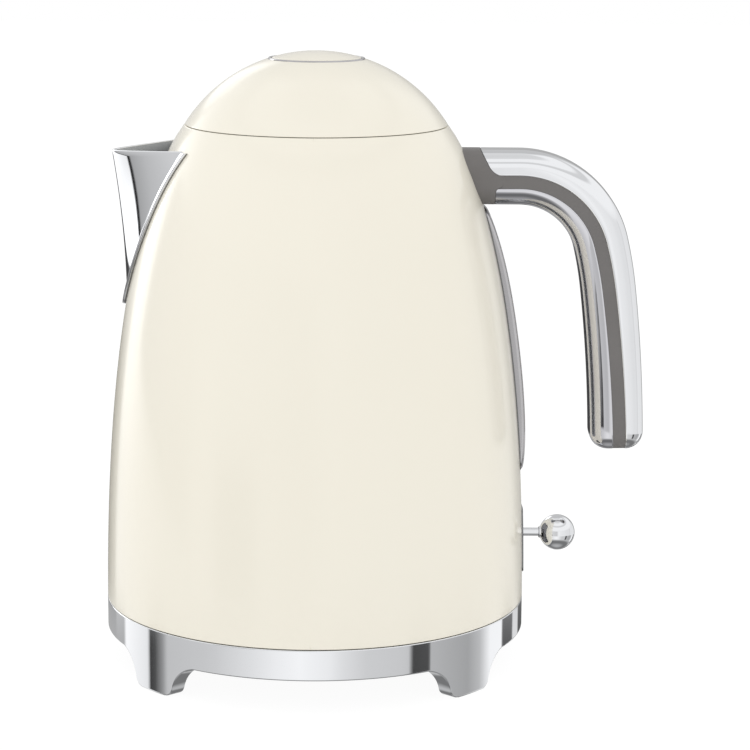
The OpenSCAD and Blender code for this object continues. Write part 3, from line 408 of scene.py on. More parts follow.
def lathe_tree():
    """Geometry nodes that turn the outline given as a loop of points about the Z axis."""
    tree = bpy.data.node_groups.new("Lathe", "GeometryNodeTree")
    face = tree.interface
    face.new_socket("Outline", in_out="INPUT", socket_type="NodeSocketGeometry")
    face.new_socket("Outline Points", in_out="INPUT", socket_type="NodeSocketInt")
    face.new_socket("Facets", in_out="INPUT", socket_type="NodeSocketInt")
    face.new_socket("Finish", in_out="INPUT", socket_type="NodeSocketMaterial")
    face.new_socket("Turned", in_out="OUTPUT", socket_type="NodeSocketGeometry")
    g = Graph(tree)
    given = tree.nodes.new("NodeGroupInput")
    outline, count, facets, finish = [Wire(g, given.outputs[i]) for i in range(4)]
    grid = g.add("GeometryNodeMeshGrid", {"Vertices X": facets + 1, "Vertices Y": count + 1})
    index = g.add("GeometryNodeInputIndex")
    column = (index / (count + 1)).floor()
    row = (index - column * (count + 1)) % count
    point = g.add("GeometryNodeSampleIndex",
                  {"Geometry": outline, 1: g.add("GeometryNodeInputPosition"), "Index": row},
                  data_type="FLOAT_VECTOR", domain="POINT")
    turned = g.add("ShaderNodeVectorRotate", {"Vector": point, "Angle": column * (2 * math.pi) / facets},
                   rotation_type="Z_AXIS")
    shape = g.add("GeometryNodeSetPosition", {"Geometry": grid, "Position": turned})
    shape = g.add("GeometryNodeMergeByDistance", {"Geometry": shape, "Distance": 1e-6})
    shape = g.add("GeometryNodeRealizeInstances", {"Geometry": shape})
    shape = g.add("GeometryNodeSetMaterial", {"Geometry": shape, "Material": finish})
    g.add("NodeGroupOutput", {0: shape})
    return tree


LATHE = lathe_tree()


def grown(name, mesh, tree, inputs, place, sharp=38):
    """The mesh that a tree makes from a start mesh, moved to its place, as a plain mesh."""
    start = linked(name + "_start", mesh)
    modifier = start.modifiers.new("make", "NODES")
    modifier.node_group = tree
    for socket in tree.interface.items_tree:
        if socket.in_out == "INPUT" and socket.name in inputs:
            modifier[socket.identifier] = inputs[socket.name]
    evaluated = start.evaluated_get(bpy.context.evaluated_depsgraph_get())
    made = bpy.data.meshes.new_from_object(evaluated)
    made.name = name
    bpy.data.objects.remove(start)
    made.transform(place)
    clean(made, sharp)
    return made


def turned(name, outline, body, nodes, slot, facets=160, place=None, sharp=38, finish=None):
    """A turned piece from its outline of (radius, height) points in millimetres."""
    count = len(outline)
    line = bpy.data.meshes.new(name + "_outline")
    sides = [(i, (i + 1) % count) for i in range(count)]
    line.from_pydata([(r * MM, 0, z * MM) for r, z in outline], sides, [])
    inputs = {"Outline Points": count, "Facets": facets, "Finish": FINISHES[finish or slot]}
    mesh = grown(name, line, LATHE, inputs, place or Matrix.Translation((AXIS_X, 0, 0)), sharp)
    thing = linked(name, mesh)
    dress(thing, body, nodes, slot, finish)
    return thing


def arc(middle, radius, first, last, steps):
    """Points (x, z) on a circle, angles in degrees from the X direction."""
    return [(middle[0] + radius * math.cos(math.radians(a)), middle[1] + radius * math.sin(math.radians(a)))
            for a in np.linspace(first, last, steps + 1)]


# ---- The body's curve ----
CURVE_Z = BASE_H - 4.8
CURVE = np.array([(BODY_R, CURVE_Z), (BODY_R, CURVE_Z + WALL_FULLNESS * (SEAM_Z - CURVE_Z)),
                  (SEAM_R + 2 * (SEAM_Z - DOME_Z) / DOME_R, SEAM_Z - 2 * SEAM_R / DOME_R), (SEAM_R, SEAM_Z)])
share = np.linspace(0, 1, 801)[:, None]
curve_line = ((1 - share) ** 3 * CURVE[0] + 3 * (1 - share) ** 2 * share * CURVE[1]
              + 3 * (1 - share) * share ** 2 * CURVE[2] + share ** 3 * CURVE[3])
curve_way = ((1 - share) ** 2 * (CURVE[1] - CURVE[0]) + 2 * (1 - share) * share * (CURVE[2] - CURVE[1])
             + share ** 2 * (CURVE[3] - CURVE[2]))
curve_way /= np.linalg.norm(curve_way, axis=1)[:, None]


def wall_r(z, inset=0.0):
    """Radius of the body at height z, moved inwards by inset."""
    moved = curve_line + inset * np.stack([-curve_way[:, 1], curve_way[:, 0]], axis=1)
    return np.interp(z, moved[:, 1], moved[:, 0])


# ---- Shells cut from flat patterns ----
def inside(points, polygon):
    """Which points lie in a polygon."""
    x, y = points[:, 0][:, None], points[:, 1][:, None]
    ax, ay = polygon[:, 0], polygon[:, 1]
    bx, by = np.roll(ax, -1), np.roll(ay, -1)
    crosses = ((ay > y) != (by > y)) & (x < (bx - ax) * (y - ay) / np.where(by == ay, 1e-9, by - ay) + ax)
    return crosses.sum(axis=1) % 2 == 1


def edge_distance(points, polygon):
    """Distance of each point to a polygon's nearest edge."""
    best = np.full(len(points), 1e9)
    for start, end in zip(polygon, np.roll(polygon, -1, axis=0)):
        way = end - start
        t = np.clip(((points - start) @ way) / max(way @ way, 1e-12), 0, 1)
        best = np.minimum(best, np.linalg.norm(points - start - t[:, None] * way, axis=1))
    return best


def walked(polygon, step):
    """The polygon with points added so that none is further than step from the next."""
    out = []
    for a, b in zip(polygon, np.roll(polygon, -1, axis=0)):
        parts = max(1, math.ceil(np.linalg.norm(b - a) / step))
        out += [a + (b - a) * k / parts for k in range(parts)]
    return np.array(out)


def offset(polygon, distance):
    """Points moved off a closed polygon along its corner normals."""
    way = np.roll(polygon, -1, axis=0) - np.roll(polygon, 1, axis=0)
    way /= np.linalg.norm(way, axis=1)[:, None]
    return polygon + distance * np.stack([-way[:, 1], way[:, 0]], axis=1)


def pattern(outline, holes, step, edge, soft):
    """Triangles of a flat pattern; soft are the distances of extra rows of points along its edges."""
    loops = [walked(outline, edge)] + [walked(h, edge) for h in holes]
    rows = [offset(loop, side * d) for loop in loops for d in soft for side in (1, -1)]
    low, high = outline.min(axis=0), outline.max(axis=0)
    across, up = np.meshgrid(np.arange(low[0], high[0], step), np.arange(low[1], high[1], step))
    grid = np.stack([across.ravel(), up.ravel()], axis=1)
    near = max(soft, default=0) + 0.45 * edge
    wanted = []
    for points, gap in [(p, 0.02) for p in rows] + [(grid, near)]:
        keep = inside(points, loops[0])
        for hole in loops[1:]:
            keep &= ~inside(points, hole)
        points = points[keep]
        if len(points):
            away = np.min([edge_distance(points, loop) for loop in loops], axis=0)
            wanted.append(points[away > gap])
    bounds, edges, start = [], [], 0
    for loop in loops:
        bounds.append(loop)
        edges += [(start + i, start + (i + 1) % len(loop)) for i in range(len(loop))]
        start += len(loop)
    points = np.concatenate(bounds + wanted)
    made = delaunay_2d_cdt([Vector(p) for p in points], edges, [], 0, 1e-7)
    points = np.array([tuple(p) for p in made[0]])
    triangles = np.array([f for f in made[2] if len(f) == 3])
    centres = points[triangles].mean(axis=1)
    keep = inside(centres, loops[0])
    for hole in loops[1:]:
        keep &= ~inside(centres, hole)
    return points, triangles[keep], loops


def shell(name, outline, holes, outer, inner, body, nodes, slot, step=3.0, edge=1.0, soft=(), wrap=False,
          sharp=38, finish=None):
    """A curved shell from a flat pattern of (way round at the body's radius, height)."""
    holes = [np.array(hole, float) for hole in holes]
    points, triangles, loops = pattern(np.array(outline, float), holes, step, edge, soft)
    if wrap:
        top, low = loops[0][:, 1].max(), loops[0][:, 1].min()
        away = np.minimum(top - points[:, 1], points[:, 1] - low)
        for loop in loops[1:]:
            away = np.minimum(away, edge_distance(points, loop))
    else:
        away = np.min([edge_distance(points, loop) for loop in loops], axis=0)
    angle = points[:, 0] / BODY_R
    count = len(points)
    solid = []
    for radius in (outer(points[:, 0], points[:, 1], away), inner(points[:, 0], points[:, 1], away)):
        solid += list(zip(radius * np.cos(angle), radius * np.sin(angle), points[:, 1]))
    faces = [tuple(t) for t in triangles] + [tuple(count + i for i in reversed(t)) for t in triangles]
    uses = {}
    for t in triangles:
        for i in range(3):
            pair = (t[i], t[(i + 1) % 3])
            uses[pair] = uses.get(pair, 0) + 1
    ends = (points[:, 0].min() + 1e-6, points[:, 0].max() - 1e-6)
    for a, b in uses:
        if (b, a) in uses:
            continue
        if wrap and all(points[i, 0] <= ends[0] or points[i, 0] >= ends[1] for i in (a, b)):
            continue
        faces.append((b, a, count + a, count + b))
    return piece(name, solid, faces, body, nodes, slot, sharp, finish)


def softened(away, radius):
    """Height that a rounded edge of that radius has lost at a distance from it."""
    gone = np.clip(1 - away / radius, 0, 1)
    return radius * (1 - np.sqrt(1 - gone ** 2))


def round_box(width, low, high, radius, steps=6):
    """Outline of a rounded rectangle about the vertical."""
    half = width / 2
    out = []
    for x, z, first in ((half - radius, high - radius, 0), (radius - half, high - radius, 90),
                        (radius - half, low + radius, 180), (half - radius, low + radius, 270)):
        out += arc((x, z), radius, first, first + 90, steps)
    return out


def around(y, z):
    """Way round at the body's radius of a point of the wall at that Y."""
    return BODY_R * math.asin(y / float(wall_r(z)))


# ---- Body ----
def wall_edge(low, high, inset):
    return [(float(wall_r(z, inset)), z) for z in np.linspace(low, high, 60)]


slot_half = GAUGE_W / 2 - GAUGE_BORDER
gauge_hole = round_box(2 * slot_half, GAUGE_LOW + GAUGE_BORDER, GAUGE_TOP - GAUGE_BORDER, 2.5)
lever_hole = round_box(LEVER_SLOT_W, LEVER_SLOT_LOW, LEVER_SLOT_TOP, LEVER_SLOT_W / 2 - 0.01)
pour_hole = []
for k in np.linspace(-1, 1, 41):
    height = POUR_LOW + (POUR_TOP - POUR_LOW) * k * k
    pour_hole.append((math.pi * BODY_R - around(POUR_W * k, height), height))
quarter = math.pi * BODY_R / 2
shell(
    "kettle_body",
    [(-quarter, LOW_EDGE), (3 * quarter, LOW_EDGE), (3 * quarter, SHELL_TOP), (-quarter, SHELL_TOP)],
    [gauge_hole, lever_hole, pour_hole],
    lambda s, z, away: wall_r(z) - softened(away, 0.3),
    lambda s, z, away: wall_r(z, WALL_T) + 0.0 * away,
    "kettle", ["body_shell"], "cream_paint", step=3.0, edge=2.6, soft=(0.06, 0.2, 0.45), wrap=True)

# ---- Lid ----
edge_angle = math.degrees(math.asin((LID_Z - DOME_Z) / DOME_R))
ring_angle = math.degrees(math.acos(BUTTON_RING_R / DOME_R))
inner_edge = math.degrees(math.asin((LID_Z - DOME_Z) / (DOME_R - DOME_T)))
inner_ring = math.degrees(math.acos(BUTTON_RING_R / (DOME_R - DOME_T)))
dome = arc((0, DOME_Z), DOME_R, edge_angle, ring_angle, 60)
dome = [(*dome[0], 0.25)] + dome[1:-1] + [(*dome[-1], 0.3)]
dome += arc((0, DOME_Z), DOME_R - DOME_T, inner_ring, inner_edge, 40)
turned("lid_dome_painted", rounded(dome), "lid", ["lid_dome"], "cream_paint", facets=192)

ring_in = BUTTON_RING_R - BUTTON_RING_T
dome_inner = [DOME_Z + math.sqrt((DOME_R - DOME_T) ** 2 - r * r) for r in (BUTTON_RING_R, BUTTON_RING_R + 2)]
# The ring's darker chrome is painted shade.
turned("button_ring_plated", rounded([
    (ring_in, BUTTON_EDGE_Z, 0.35), (BUTTON_RING_R, BUTTON_EDGE_Z, 0.35), (BUTTON_RING_R, dome_inner[0]),
    (BUTTON_RING_R + 2, dome_inner[1]), (BUTTON_RING_R + 2, BUTTON_EDGE_Z - 5),
    (ring_in, BUTTON_EDGE_Z - 7, 0.3)]),
    "lid", ["button_ring"], "polished_chrome", facets=144, finish="satin_chrome")

cap = [(0.0, KETTLE_H)] + arc((0, DOME_Z), DOME_R, 90, math.degrees(math.acos(BUTTON_R / DOME_R)), 30)[1:]
cap = cap[:-1] + [(*cap[-1], 0.5)]
button = turned("lid_button_painted", rounded(cap + [
    (BUTTON_R, BUTTON_FLOOR - 4, 0.2), (BUTTON_R - 1.5, BUTTON_FLOOR - 4, 0.2),
    (BUTTON_R - 1.5, BUTTON_FLOOR, 0.3), (0.0, BUTTON_FLOOR)]), "lid_button", [], "cream_paint", facets=144)


def stem_of(node, low):
    """The faces of a CAD node that lie below a height, closed where they were cut off."""
    work = bmesh.new()
    work.from_mesh(frame["nodes"][node].data)
    bmesh.ops.remove_doubles(work, verts=work.verts, dist=1e-6)
    above = [f for f in work.faces if f.calc_center_median().z > low * MM
             or math.hypot(f.calc_center_median().x - AXIS_X, f.calc_center_median().y) > 6 * MM]
    bmesh.ops.delete(work, geom=above, context="FACES")
    bmesh.ops.holes_fill(work, edges=[e for e in work.edges if e.is_boundary])
    mesh = bpy.data.meshes.new(node + "_stem")
    work.to_mesh(mesh)
    work.free()
    clean(mesh, 32)
    return linked(node + "_stem", mesh)


stem = stem_of("lid_button", BUTTON_FLOOR - 0.2)
dress(stem, "lid_button", ["lid_button"], "cream_paint")
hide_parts("lid_button")


# ---- Power base ring with its four feet ----
def foot_edge():
    """Lower edge of a foot: half widths and heights, out to where it runs into the ring."""
    flare = SKIRT_Z - PAD_PROUD + 0.2
    flare_x = FOOT_W / 2 + flare
    corner_x = flare_x - math.sqrt(flare ** 2 + 2 * flare * FOOT_CORNER_R)
    meet = math.atan2(-FOOT_CORNER_R, flare_x - corner_x)
    line = [(x, PAD_PROUD) for x in np.linspace(0, corner_x, 7)[:-1]]
    line += arc((corner_x, PAD_PROUD + FOOT_CORNER_R), FOOT_CORNER_R, -90, math.degrees(meet), 10)
    last = 90 + math.degrees(math.acos(min(1, (SKIRT_Z - PAD_PROUD) / flare)))
    line += arc((flare_x, PAD_PROUD), flare, 180 + math.degrees(meet), last, 22)[1:]
    return line


def base_ring():
    """The ring and its feet as columns of points round the axis: outside, top, and back down inside."""
    side = foot_edge()
    soft, bevel = 0.6, 0.3
    feet_at = (FOOT_ANGLE, 180 - FOOT_ANGLE, 180 + FOOT_ANGLE, 360 - FOOT_ANGLE)
    columns = []
    for a in feet_at:
        way = math.radians(a)
        for y, z in [(-p[0], p[1]) for p in reversed(side)] + side[1:]:
            feet = []
            for radius in (BODY_R, BODY_R - FOOT_T, BODY_R - RING_T):
                x = math.sqrt(radius ** 2 - y * y)
                feet.append((x * math.sin(way) + y * math.cos(way), -x * math.cos(way) + y * math.sin(way)))
            columns.append((math.degrees(way + math.asin(y / BODY_R)) % 360, z, feet))
    taken = np.array([c[0] for c in columns])
    for a in np.arange(0, 360, 1.5):
        if min(abs((taken - a + 180) % 360 - 180)) < 1.2:
            continue
        if any(abs((a - c + 180) % 360 - 180) < math.degrees(math.asin(side[-1][0] / BODY_R))
               for c in feet_at):
            continue
        way = math.radians(a)
        columns.append((a, SKIRT_Z, [(r * math.sin(way), -r * math.cos(way))
                                     for r in (BODY_R, BODY_R - RING_T, BODY_R - RING_T)]))
    columns.sort(key=lambda c: c[0])
    points = []
    for a, low, places in columns:
        out, foot_in, ring_xy = [Vector(place) for place in places]
        inward = (foot_in - out).normalized()
        line = [(out + inward * soft * (1 - math.sin(t)), low + soft * (1 - math.cos(t)))
                for t in np.linspace(0, math.pi / 2, 5)]
        line += [(out, z) for z in np.linspace(low + soft + 0.08, BASE_H - bevel - 0.08, 5)]
        line += [(out + inward * bevel * (1 - math.cos(t)), BASE_H - bevel * (1 - math.sin(t)))
                 for t in np.linspace(0, math.pi / 2, 5)]
        step_z = max(COVER_Z, low)
        line += [(ring_xy, BASE_H), (ring_xy, step_z), (foot_in, step_z), (foot_in, low)]
        points += [(p.x, p.y, z) for p, z in line]
    faces, per = [], len(points) // len(columns)
    for c in range(len(columns)):
        d = (c + 1) % len(columns)
        for j in range(per):
            k = (j + 1) % per
            faces.append((c * per + j, d * per + j, d * per + k, c * per + k))
    return piece("base_ring_plated", points, faces, "power_base", ["base_ring"], "polished_chrome", 40)


base_ring()


# ---- Spout and its trim ----
def ridge_shape(u):
    """How far along from its ridge, 0, to the body, 1, the spout has bent at a share u of its half width."""
    full = math.sqrt(1 + RIDGE_ROUND ** 2) - RIDGE_ROUND
    return (math.sqrt(u * u + RIDGE_ROUND ** 2) - RIDGE_ROUND) / full


def root_x(y, z, proud=0.0):
    return -math.sqrt(float(wall_r(z) + proud) ** 2 - y * y)


def ridge_x(z):
    leaned = -float(wall_r(SPOUT_Z)) - SPOUT_LEAN * max(0, (z - SPOUT_Z) / SPOUT_H) ** RIDGE_POWER
    return min(leaned, -float(wall_r(z)) - 0.7)


def spout_point(z, rise, w, u, t):
    bend = ridge_shape(abs(u))
    y, top = (w - t) * u, ridge_x(z) + 1.2 * t
    x = top + (root_x(w - t, z + rise, 0.02) - top) * bend
    if t > 0:
        x = min(x, root_x(y, z + rise * bend, 0.02))
    return Vector((x, y, z + rise * bend))


def spout():
    levels, half = 56, 40
    loops = []
    for i in range(levels + 1):
        k = 0.14 + 0.86 * i / levels
        z, w, rise = SPOUT_Z + SPOUT_H * k * k, SPOUT_W * k, RIM_RISE * k ** 6
        across = [j / half for j in range(-half, half + 1)]
        loops.append(([spout_point(z, rise, w, u, 0) for u in across],
                      [spout_point(z, rise, w, u, min(SPOUT_T, w / 3)) for u in across]))
    outer, inner = loops[-1]
    for turn in np.linspace(0, math.pi / 2, 5)[1:]:
        lift = Vector((0, 0, 0.35 * math.sin(turn)))
        share = 0.5 * (1 - math.cos(turn))
        loops.append(([a.lerp(b, share) + lift for a, b in zip(outer, inner)],
                      [b.lerp(a, share * 0.98) + lift for a, b in zip(outer, inner)]))
    return skin([a + b[::-1] for a, b in loops])


def spout_painted_reflection_lining():
    """A thin skin on the spout's inside, in a darker, bluer chrome: painted shade and reflection."""
    loops = []
    for k in np.linspace(0.3, 1, 41):
        z, w, rise = SPOUT_Z + SPOUT_H * k * k, SPOUT_W * k, RIM_RISE * k ** 6
        across = np.linspace(-1, 1, 61)
        near, far = [[spout_point(z, rise, w, u, SPOUT_T + t) for u in across] for t in (-0.1, 0.1)]
        loops.append(near + far[::-1])
    return skin(loops)


piece("spout_plated", *spout(), "kettle", ["spout"], "polished_chrome", 50)
# A skin just inside the spout, in painted shade and reflection.
piece("spout_painted_reflection_lining", *spout_painted_reflection_lining(), "kettle", ["spout"], "polished_chrome", 50, "dull_chrome")

# Outline of the trim, as shares of its width and of its height, and the strips that it is made in: the crest
# and the rail polished, the groove in darker chrome as painted shade, and the edge lines as painted shadow.
BEAD = [(0.0, 0.0), (0.02, 0.45), (0.10, 0.75), (0.2, 0.95), (0.45, 1.0), (0.80, 0.97),
        (0.86, 0.90), (0.885, 0.82), (0.93, 0.80), (0.972, 0.62), (0.985, 0.40), (1.0, 0.0)]
TRIM_STRIPS = [("inner_line", 0, 2, "shadow_line"), ("crest", 2, 5, "polished_chrome"),
               ("groove", 5, 7, "satin_chrome"), ("rail", 7, 10, "polished_chrome"),
               ("outer_line", 10, 11, "shadow_line")]


def trim_point(q, out, proud):
    w, low = SPOUT_W + out, SPOUT_Z - 0.5 * out
    y, z = w * q, low + (SPOUT_TOP + RIM_RISE - low) * q * q
    grow = (float(wall_r(z)) + proud) / float(wall_r(z))
    return (root_x(y, z) * grow, y * grow, z)


for part, first, last, finish in TRIM_STRIPS:
    edge = BEAD[first:last + 1]
    edge = [(edge[0][0], 0.0)] * (first > 0) + edge + [(edge[-1][0], 0.0)] * (last < len(BEAD) - 1)
    trim = [[trim_point(q, 0.1 + (TRIM_W - 0.1) * a, TRIM_GAP + (TRIM_T - TRIM_GAP) * b) for a, b in edge]
            for q in np.linspace(-1, 1, 181)]
    piece("spout_trim_" + part, *skin(trim), "kettle", ["spout_trim"], "polished_chrome", 50, finish)


# ---- Handle ----
def bend_end(p, a, radius, turn):
    """Where a bend of that radius and turn ends, from place p and angle a."""
    return (p[0] + radius * (math.sin(a + turn) - math.sin(a)),
            p[1] + radius * (math.cos(a + turn) - math.cos(a)))


def handle_line():
    """Places along the handle: middle point, angle, and share of the end's rounding."""
    line = [((SHELL_START, HANDLE_Z), 0.0, 0.0), ((HANDLE_RUN, HANDLE_Z), 0.0, 0.0)]
    place, angle = (HANDLE_RUN, HANDLE_Z), 0.0
    for number, (radius, turn, steps) in enumerate(HANDLE_BENDS):
        turn = math.radians(turn)
        last = number == len(HANDLE_BENDS) - 1
        full = turn - HANDLE_END_R / radius if last else turn
        for i in range(1, steps + 1):
            line.append((bend_end(place, angle, radius, full * i / steps), angle + full * i / steps, 0.0))
        if last:
            for f in np.radians(np.arange(9, 91, 9)):
                t = turn - HANDLE_END_R * (1 - math.sin(f)) / radius
                line.append((bend_end(place, angle, radius, t), angle + t, 1 - math.cos(f)))
        place, angle = bend_end(place, angle, radius, turn), angle + turn
    return line, place


STATIONS, HANDLE_END = handle_line()
CORNER_D = HANDLE_D / 2 - HANDLE_CORNER_R
CORNER_Y = HANDLE_W / 2 - HANDLE_CORNER_R


def strip_edge(station, side):
    share = (HANDLE_Z - station[0][1]) / (HANDLE_Z - HANDLE_END[1])
    return side * STRIP_W / 2 - STRIP_SHIFT + STRIP_DRIFT * share


def set_at(station, d, y):
    (x, z), a, _ = station
    return (x + d * math.sin(a), y, z + d * math.cos(a))


def shell_start(d, side):
    """X where a shell begins at distance d from the handle's middle: rounded off beside the strip."""
    radius = 3.5 if side > 0 else 1.6
    deep = min(max(radius - (d - side * strip_edge(STATIONS[0], side)), 0), radius)
    slope = SHELL_SLOPE if side > 0 else 0
    return SHELL_START - d * slope + radius - math.sqrt(radius ** 2 - deep ** 2)


def half_outline(low, radius, lip):
    """Half of a shell's outline: a small lip at depth low, then its side and its round corner."""
    first = low - CORNER_D if low < CORNER_D else radius * math.asin(min(0.95, (low - CORNER_D) / radius))
    line = []
    for way in np.linspace(first, radius * math.pi / 2, 20):
        turn = max(0, way) / radius
        line.append((CORNER_D + min(0, way) + radius * math.sin(turn), CORNER_Y + radius * math.cos(turn)))
    return [(line[0][0], line[0][1] - lip), (line[0][0] + 0.34 * lip, line[0][1] - 0.3 * lip),
            (line[0][0] + lip, line[0][1] - 0.02 * lip)] + line[1:]


def half_shell(side):
    loops = []
    for k, station in enumerate(STATIONS):
        low = side * strip_edge(station, side)
        radius = HANDLE_CORNER_R - HANDLE_END_R * station[2]
        loop = []
        inside_r = max(radius - HANDLE_T, 0.5)
        for r, back, lip in ((radius, False, min(0.35, 0.3 * radius)), (inside_r, True, 0.0)):
            half = half_outline(low, r, lip)
            line = half + [(d, -y) for d, y in reversed(half)]
            loop += line[::-1] if back else line
        made = [Vector(set_at(station, side * d, y)) for d, y in loop]
        if k == 0:
            made = [p + Vector((shell_start(d, side) - SHELL_START, 0, 0)) for p, (d, y) in zip(made, loop)]
        loops.append(made if side > 0 else made[::-1])
    return skin(loops)


piece("handle_outer_plated", *half_shell(1), "kettle", ["handle_outer_shell"], "polished_chrome", 42)
# The inner shell is in the darker copy of the plating: painted shade.
piece("handle_inner_plated", *half_shell(-1), "kettle", ["handle_inner_shell"], "polished_chrome", 42,
      "shaded_chrome")


def handle_strip():
    loops = []
    for station in STATIONS:
        y = HANDLE_W / 2 - STRIP_DEPTH - HANDLE_END_R * station[2]
        low, high = strip_edge(station, -1) - 0.02, strip_edge(station, 1) + 0.02
        loops.append([set_at(station, high, -y), set_at(station, high, y), set_at(station, low, y),
                      set_at(station, low, -y)])
    return skin(loops)


strip = piece("handle_strip", *handle_strip(), "kettle", [], "grey_plastic", 30)


def mount_end(d):
    """X of the mount's end at height d: along the shells, and out over the strip between them."""
    low, high = strip_edge(STATIONS[0], -1), strip_edge(STATIONS[0], 1)
    if d > high:
        return shell_start(d, 1) - 0.05
    if d < low:
        return shell_start(-d, -1) - 0.05
    return float(np.interp(d, (low, high), (shell_start(-low, -1), shell_start(high, 1)))) + 1.0


def handle_mount():
    """The grey block from inside the wall to the plated shells, and out onto the strip."""
    low, high = strip_edge(STATIONS[0], -1), strip_edge(STATIONS[0], 1)
    wide = HANDLE_W / 2
    outline = arc((CORNER_Y, CORNER_D), HANDLE_CORNER_R, 0, 90, 12)
    outline += arc((-CORNER_Y, CORNER_D), HANDLE_CORNER_R, 90, 180, 12)
    outline += [(-wide, d) for d in np.linspace(CORNER_D, -CORNER_D, 15)[1:-1]]
    outline += arc((-CORNER_Y, -CORNER_D), HANDLE_CORNER_R, 180, 270, 12)
    outline += arc((CORNER_Y, -CORNER_D), HANDLE_CORNER_R, 270, 360, 12)
    outline += [(wide, d) for d in np.linspace(-CORNER_D, CORNER_D, 15)[1:-1]]
    loops = []
    for share in (0, 0.3, 0.6, 0.7, 0.8, 0.9, 0.97, 1):
        loop = []
        for y, d in outline:
            sink = 0.2 if share == 1 else 0.0
            if low < d < high:
                sink = (STRIP_DEPTH + 0.02) * max(0.0, (share - 0.7) / 0.3)
            near = math.sqrt(float(wall_r(HANDLE_Z + d, 0.4)) ** 2 - y * y)
            x = near + (mount_end(d) - near) * share
            loop.append(Vector((x, y * (1 - sink / wide), HANDLE_Z + d * (1 - sink / (HANDLE_D / 2)))))
        loops.append(loop)
    n = len(outline)
    points = [p for loop in loops for p in loop]
    faces = [(i * n + j, i * n + (j + 1) % n, (i + 1) * n + (j + 1) % n, (i + 1) * n + j)
             for i in range(len(loops) - 1) for j in range(n)]
    faces += [tuple(range(n - 1, -1, -1)), tuple(range((len(loops) - 1) * n, len(loops) * n))]
    return points, faces


mount = piece("handle_mount", *handle_mount(), "kettle", [], "grey_plastic", 40)


def end_plug():
    """The grey plug that closes the handle's free end."""
    wide, deep = HANDLE_W - 2 * HANDLE_T - 0.9, HANDLE_D - 2 * HANDLE_T - 0.9
    outline = round_box(deep, -wide / 2, wide / 2, HANDLE_CORNER_R - HANDLE_T)
    line = [(HANDLE_END[0] + x, y) for x, y in outline]
    loops = [[(x, y, HANDLE_END[1] + z) for x, y in line] for z in (5, 10)]
    n = len(line)
    faces = [(j, (j + 1) % n, n + (j + 1) % n, n + j) for j in range(n)]
    return loops[0] + loops[1], faces + [tuple(range(n - 1, -1, -1)), tuple(range(n, 2 * n))]


plug = piece("handle_end_plug", *end_plug(), "kettle", [], "grey_plastic", 30)
for part in (strip, mount, plug):
    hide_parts("handle_core")


# ---- Water gauge ----
def crown(z):
    t = (z - GAUGE_LOW) / (GAUGE_TOP - GAUGE_LOW)
    return GAUGE_PROUD * np.sqrt(np.clip(1 - np.abs(2 * t - 1) ** 3, 0, 1))


half_way = BODY_R * math.asin(GAUGE_W / 2 / BODY_R)
def frame_top(s, z, away):
    """Outer radius of the gauge's frame, with a rounded edge that fades out where the frame is low."""
    return wall_r(z) + np.maximum(crown(z) - softened(away, 1.3) * np.minimum(1, crown(z) / 1.3), 0.02)


# The frame's darker chrome is painted shade.
shell("gauge_frame_plated", round_box(2 * half_way, GAUGE_LOW, GAUGE_TOP, 5.0), [gauge_hole], frame_top,
      lambda s, z, away: wall_r(z) - 0.4,
      "kettle", ["gauge_frame"], "polished_chrome", step=1.3, edge=0.8, soft=(0.05, 0.2, 0.5, 0.9), sharp=50,
      finish="satin_chrome")
# A thin dark band round the frame, proud of the wall: a painted shadow line.
shell("gauge_frame_line", round_box(2 * half_way + 0.5, GAUGE_LOW - 0.2, GAUGE_TOP + 0.2, 5.2),
      [round_box(2 * half_way - 2, GAUGE_LOW + 1, GAUGE_TOP - 1, 4.0)],
      lambda s, z, away: wall_r(z) + np.minimum(0.55, 0.05 + 0.3 * crown(z)),
      lambda s, z, away: wall_r(z) - 0.3,
      "kettle", ["gauge_frame"], "polished_chrome", step=1.6, edge=0.8, sharp=50, finish="shadow_line")
window_low, window_top = GAUGE_LOW + GAUGE_BORDER + 0.02, GAUGE_TOP - GAUGE_BORDER - 0.02
shell("gauge_window_clear", round_box(2 * slot_half - 0.04, window_low, window_top, 2.5), [],
      lambda s, z, away: wall_r(z) + crown(z) - WINDOW_DROP - softened(away, 0.3),
      lambda s, z, away: wall_r(z, WALL_T),
      "kettle", ["gauge_window"], "clear_plastic", step=1.6, edge=0.8, soft=(0.1, 0.3))

# ---- Switch lever ----
plate_edge = round_box(PLATE_W, PLATE_Z - PLATE_H / 2, PLATE_Z + PLATE_H / 2, 2.5)
# The plate is in the dark shadow_line finish: painted shade.
shell("lever_plate_plated", plate_edge, [lever_hole],
      lambda s, z, away: wall_r(z) + PLATE_T - softened(away, 0.4),
      lambda s, z, away: wall_r(z) - 0.1,
      "kettle", ["lever_plate"], "polished_chrome", step=1.5, edge=0.7, soft=(0.05, 0.18, 0.4),
      finish="shadow_line")
smooth_copy("lever", "lever", "polished_chrome")
neck = math.degrees(math.asin((ROD_R + 0.7) / BALL_R))
ball = [(0.0, BALL_R)] + arc((0, 0), BALL_R, 90, neck - 90, 48)[1:]
neck_z = -BALL_R * math.cos(math.radians(neck))
ball += [(ROD_R + 0.75, neck_z - 0.5), (ROD_R + 0.5, neck_z - 0.8), (0.0, neck_z - 0.8)]
ball_place = Matrix.Translation((AXIS_X + LEVER_BALL_X * MM, 0, LEVER_Z * MM))
turned("lever_ball_plated", ball, "lever", ["lever_ball"], "polished_chrome", facets=72,
       place=ball_place @ Matrix.Rotation(math.pi / 2, 4, "Y"))

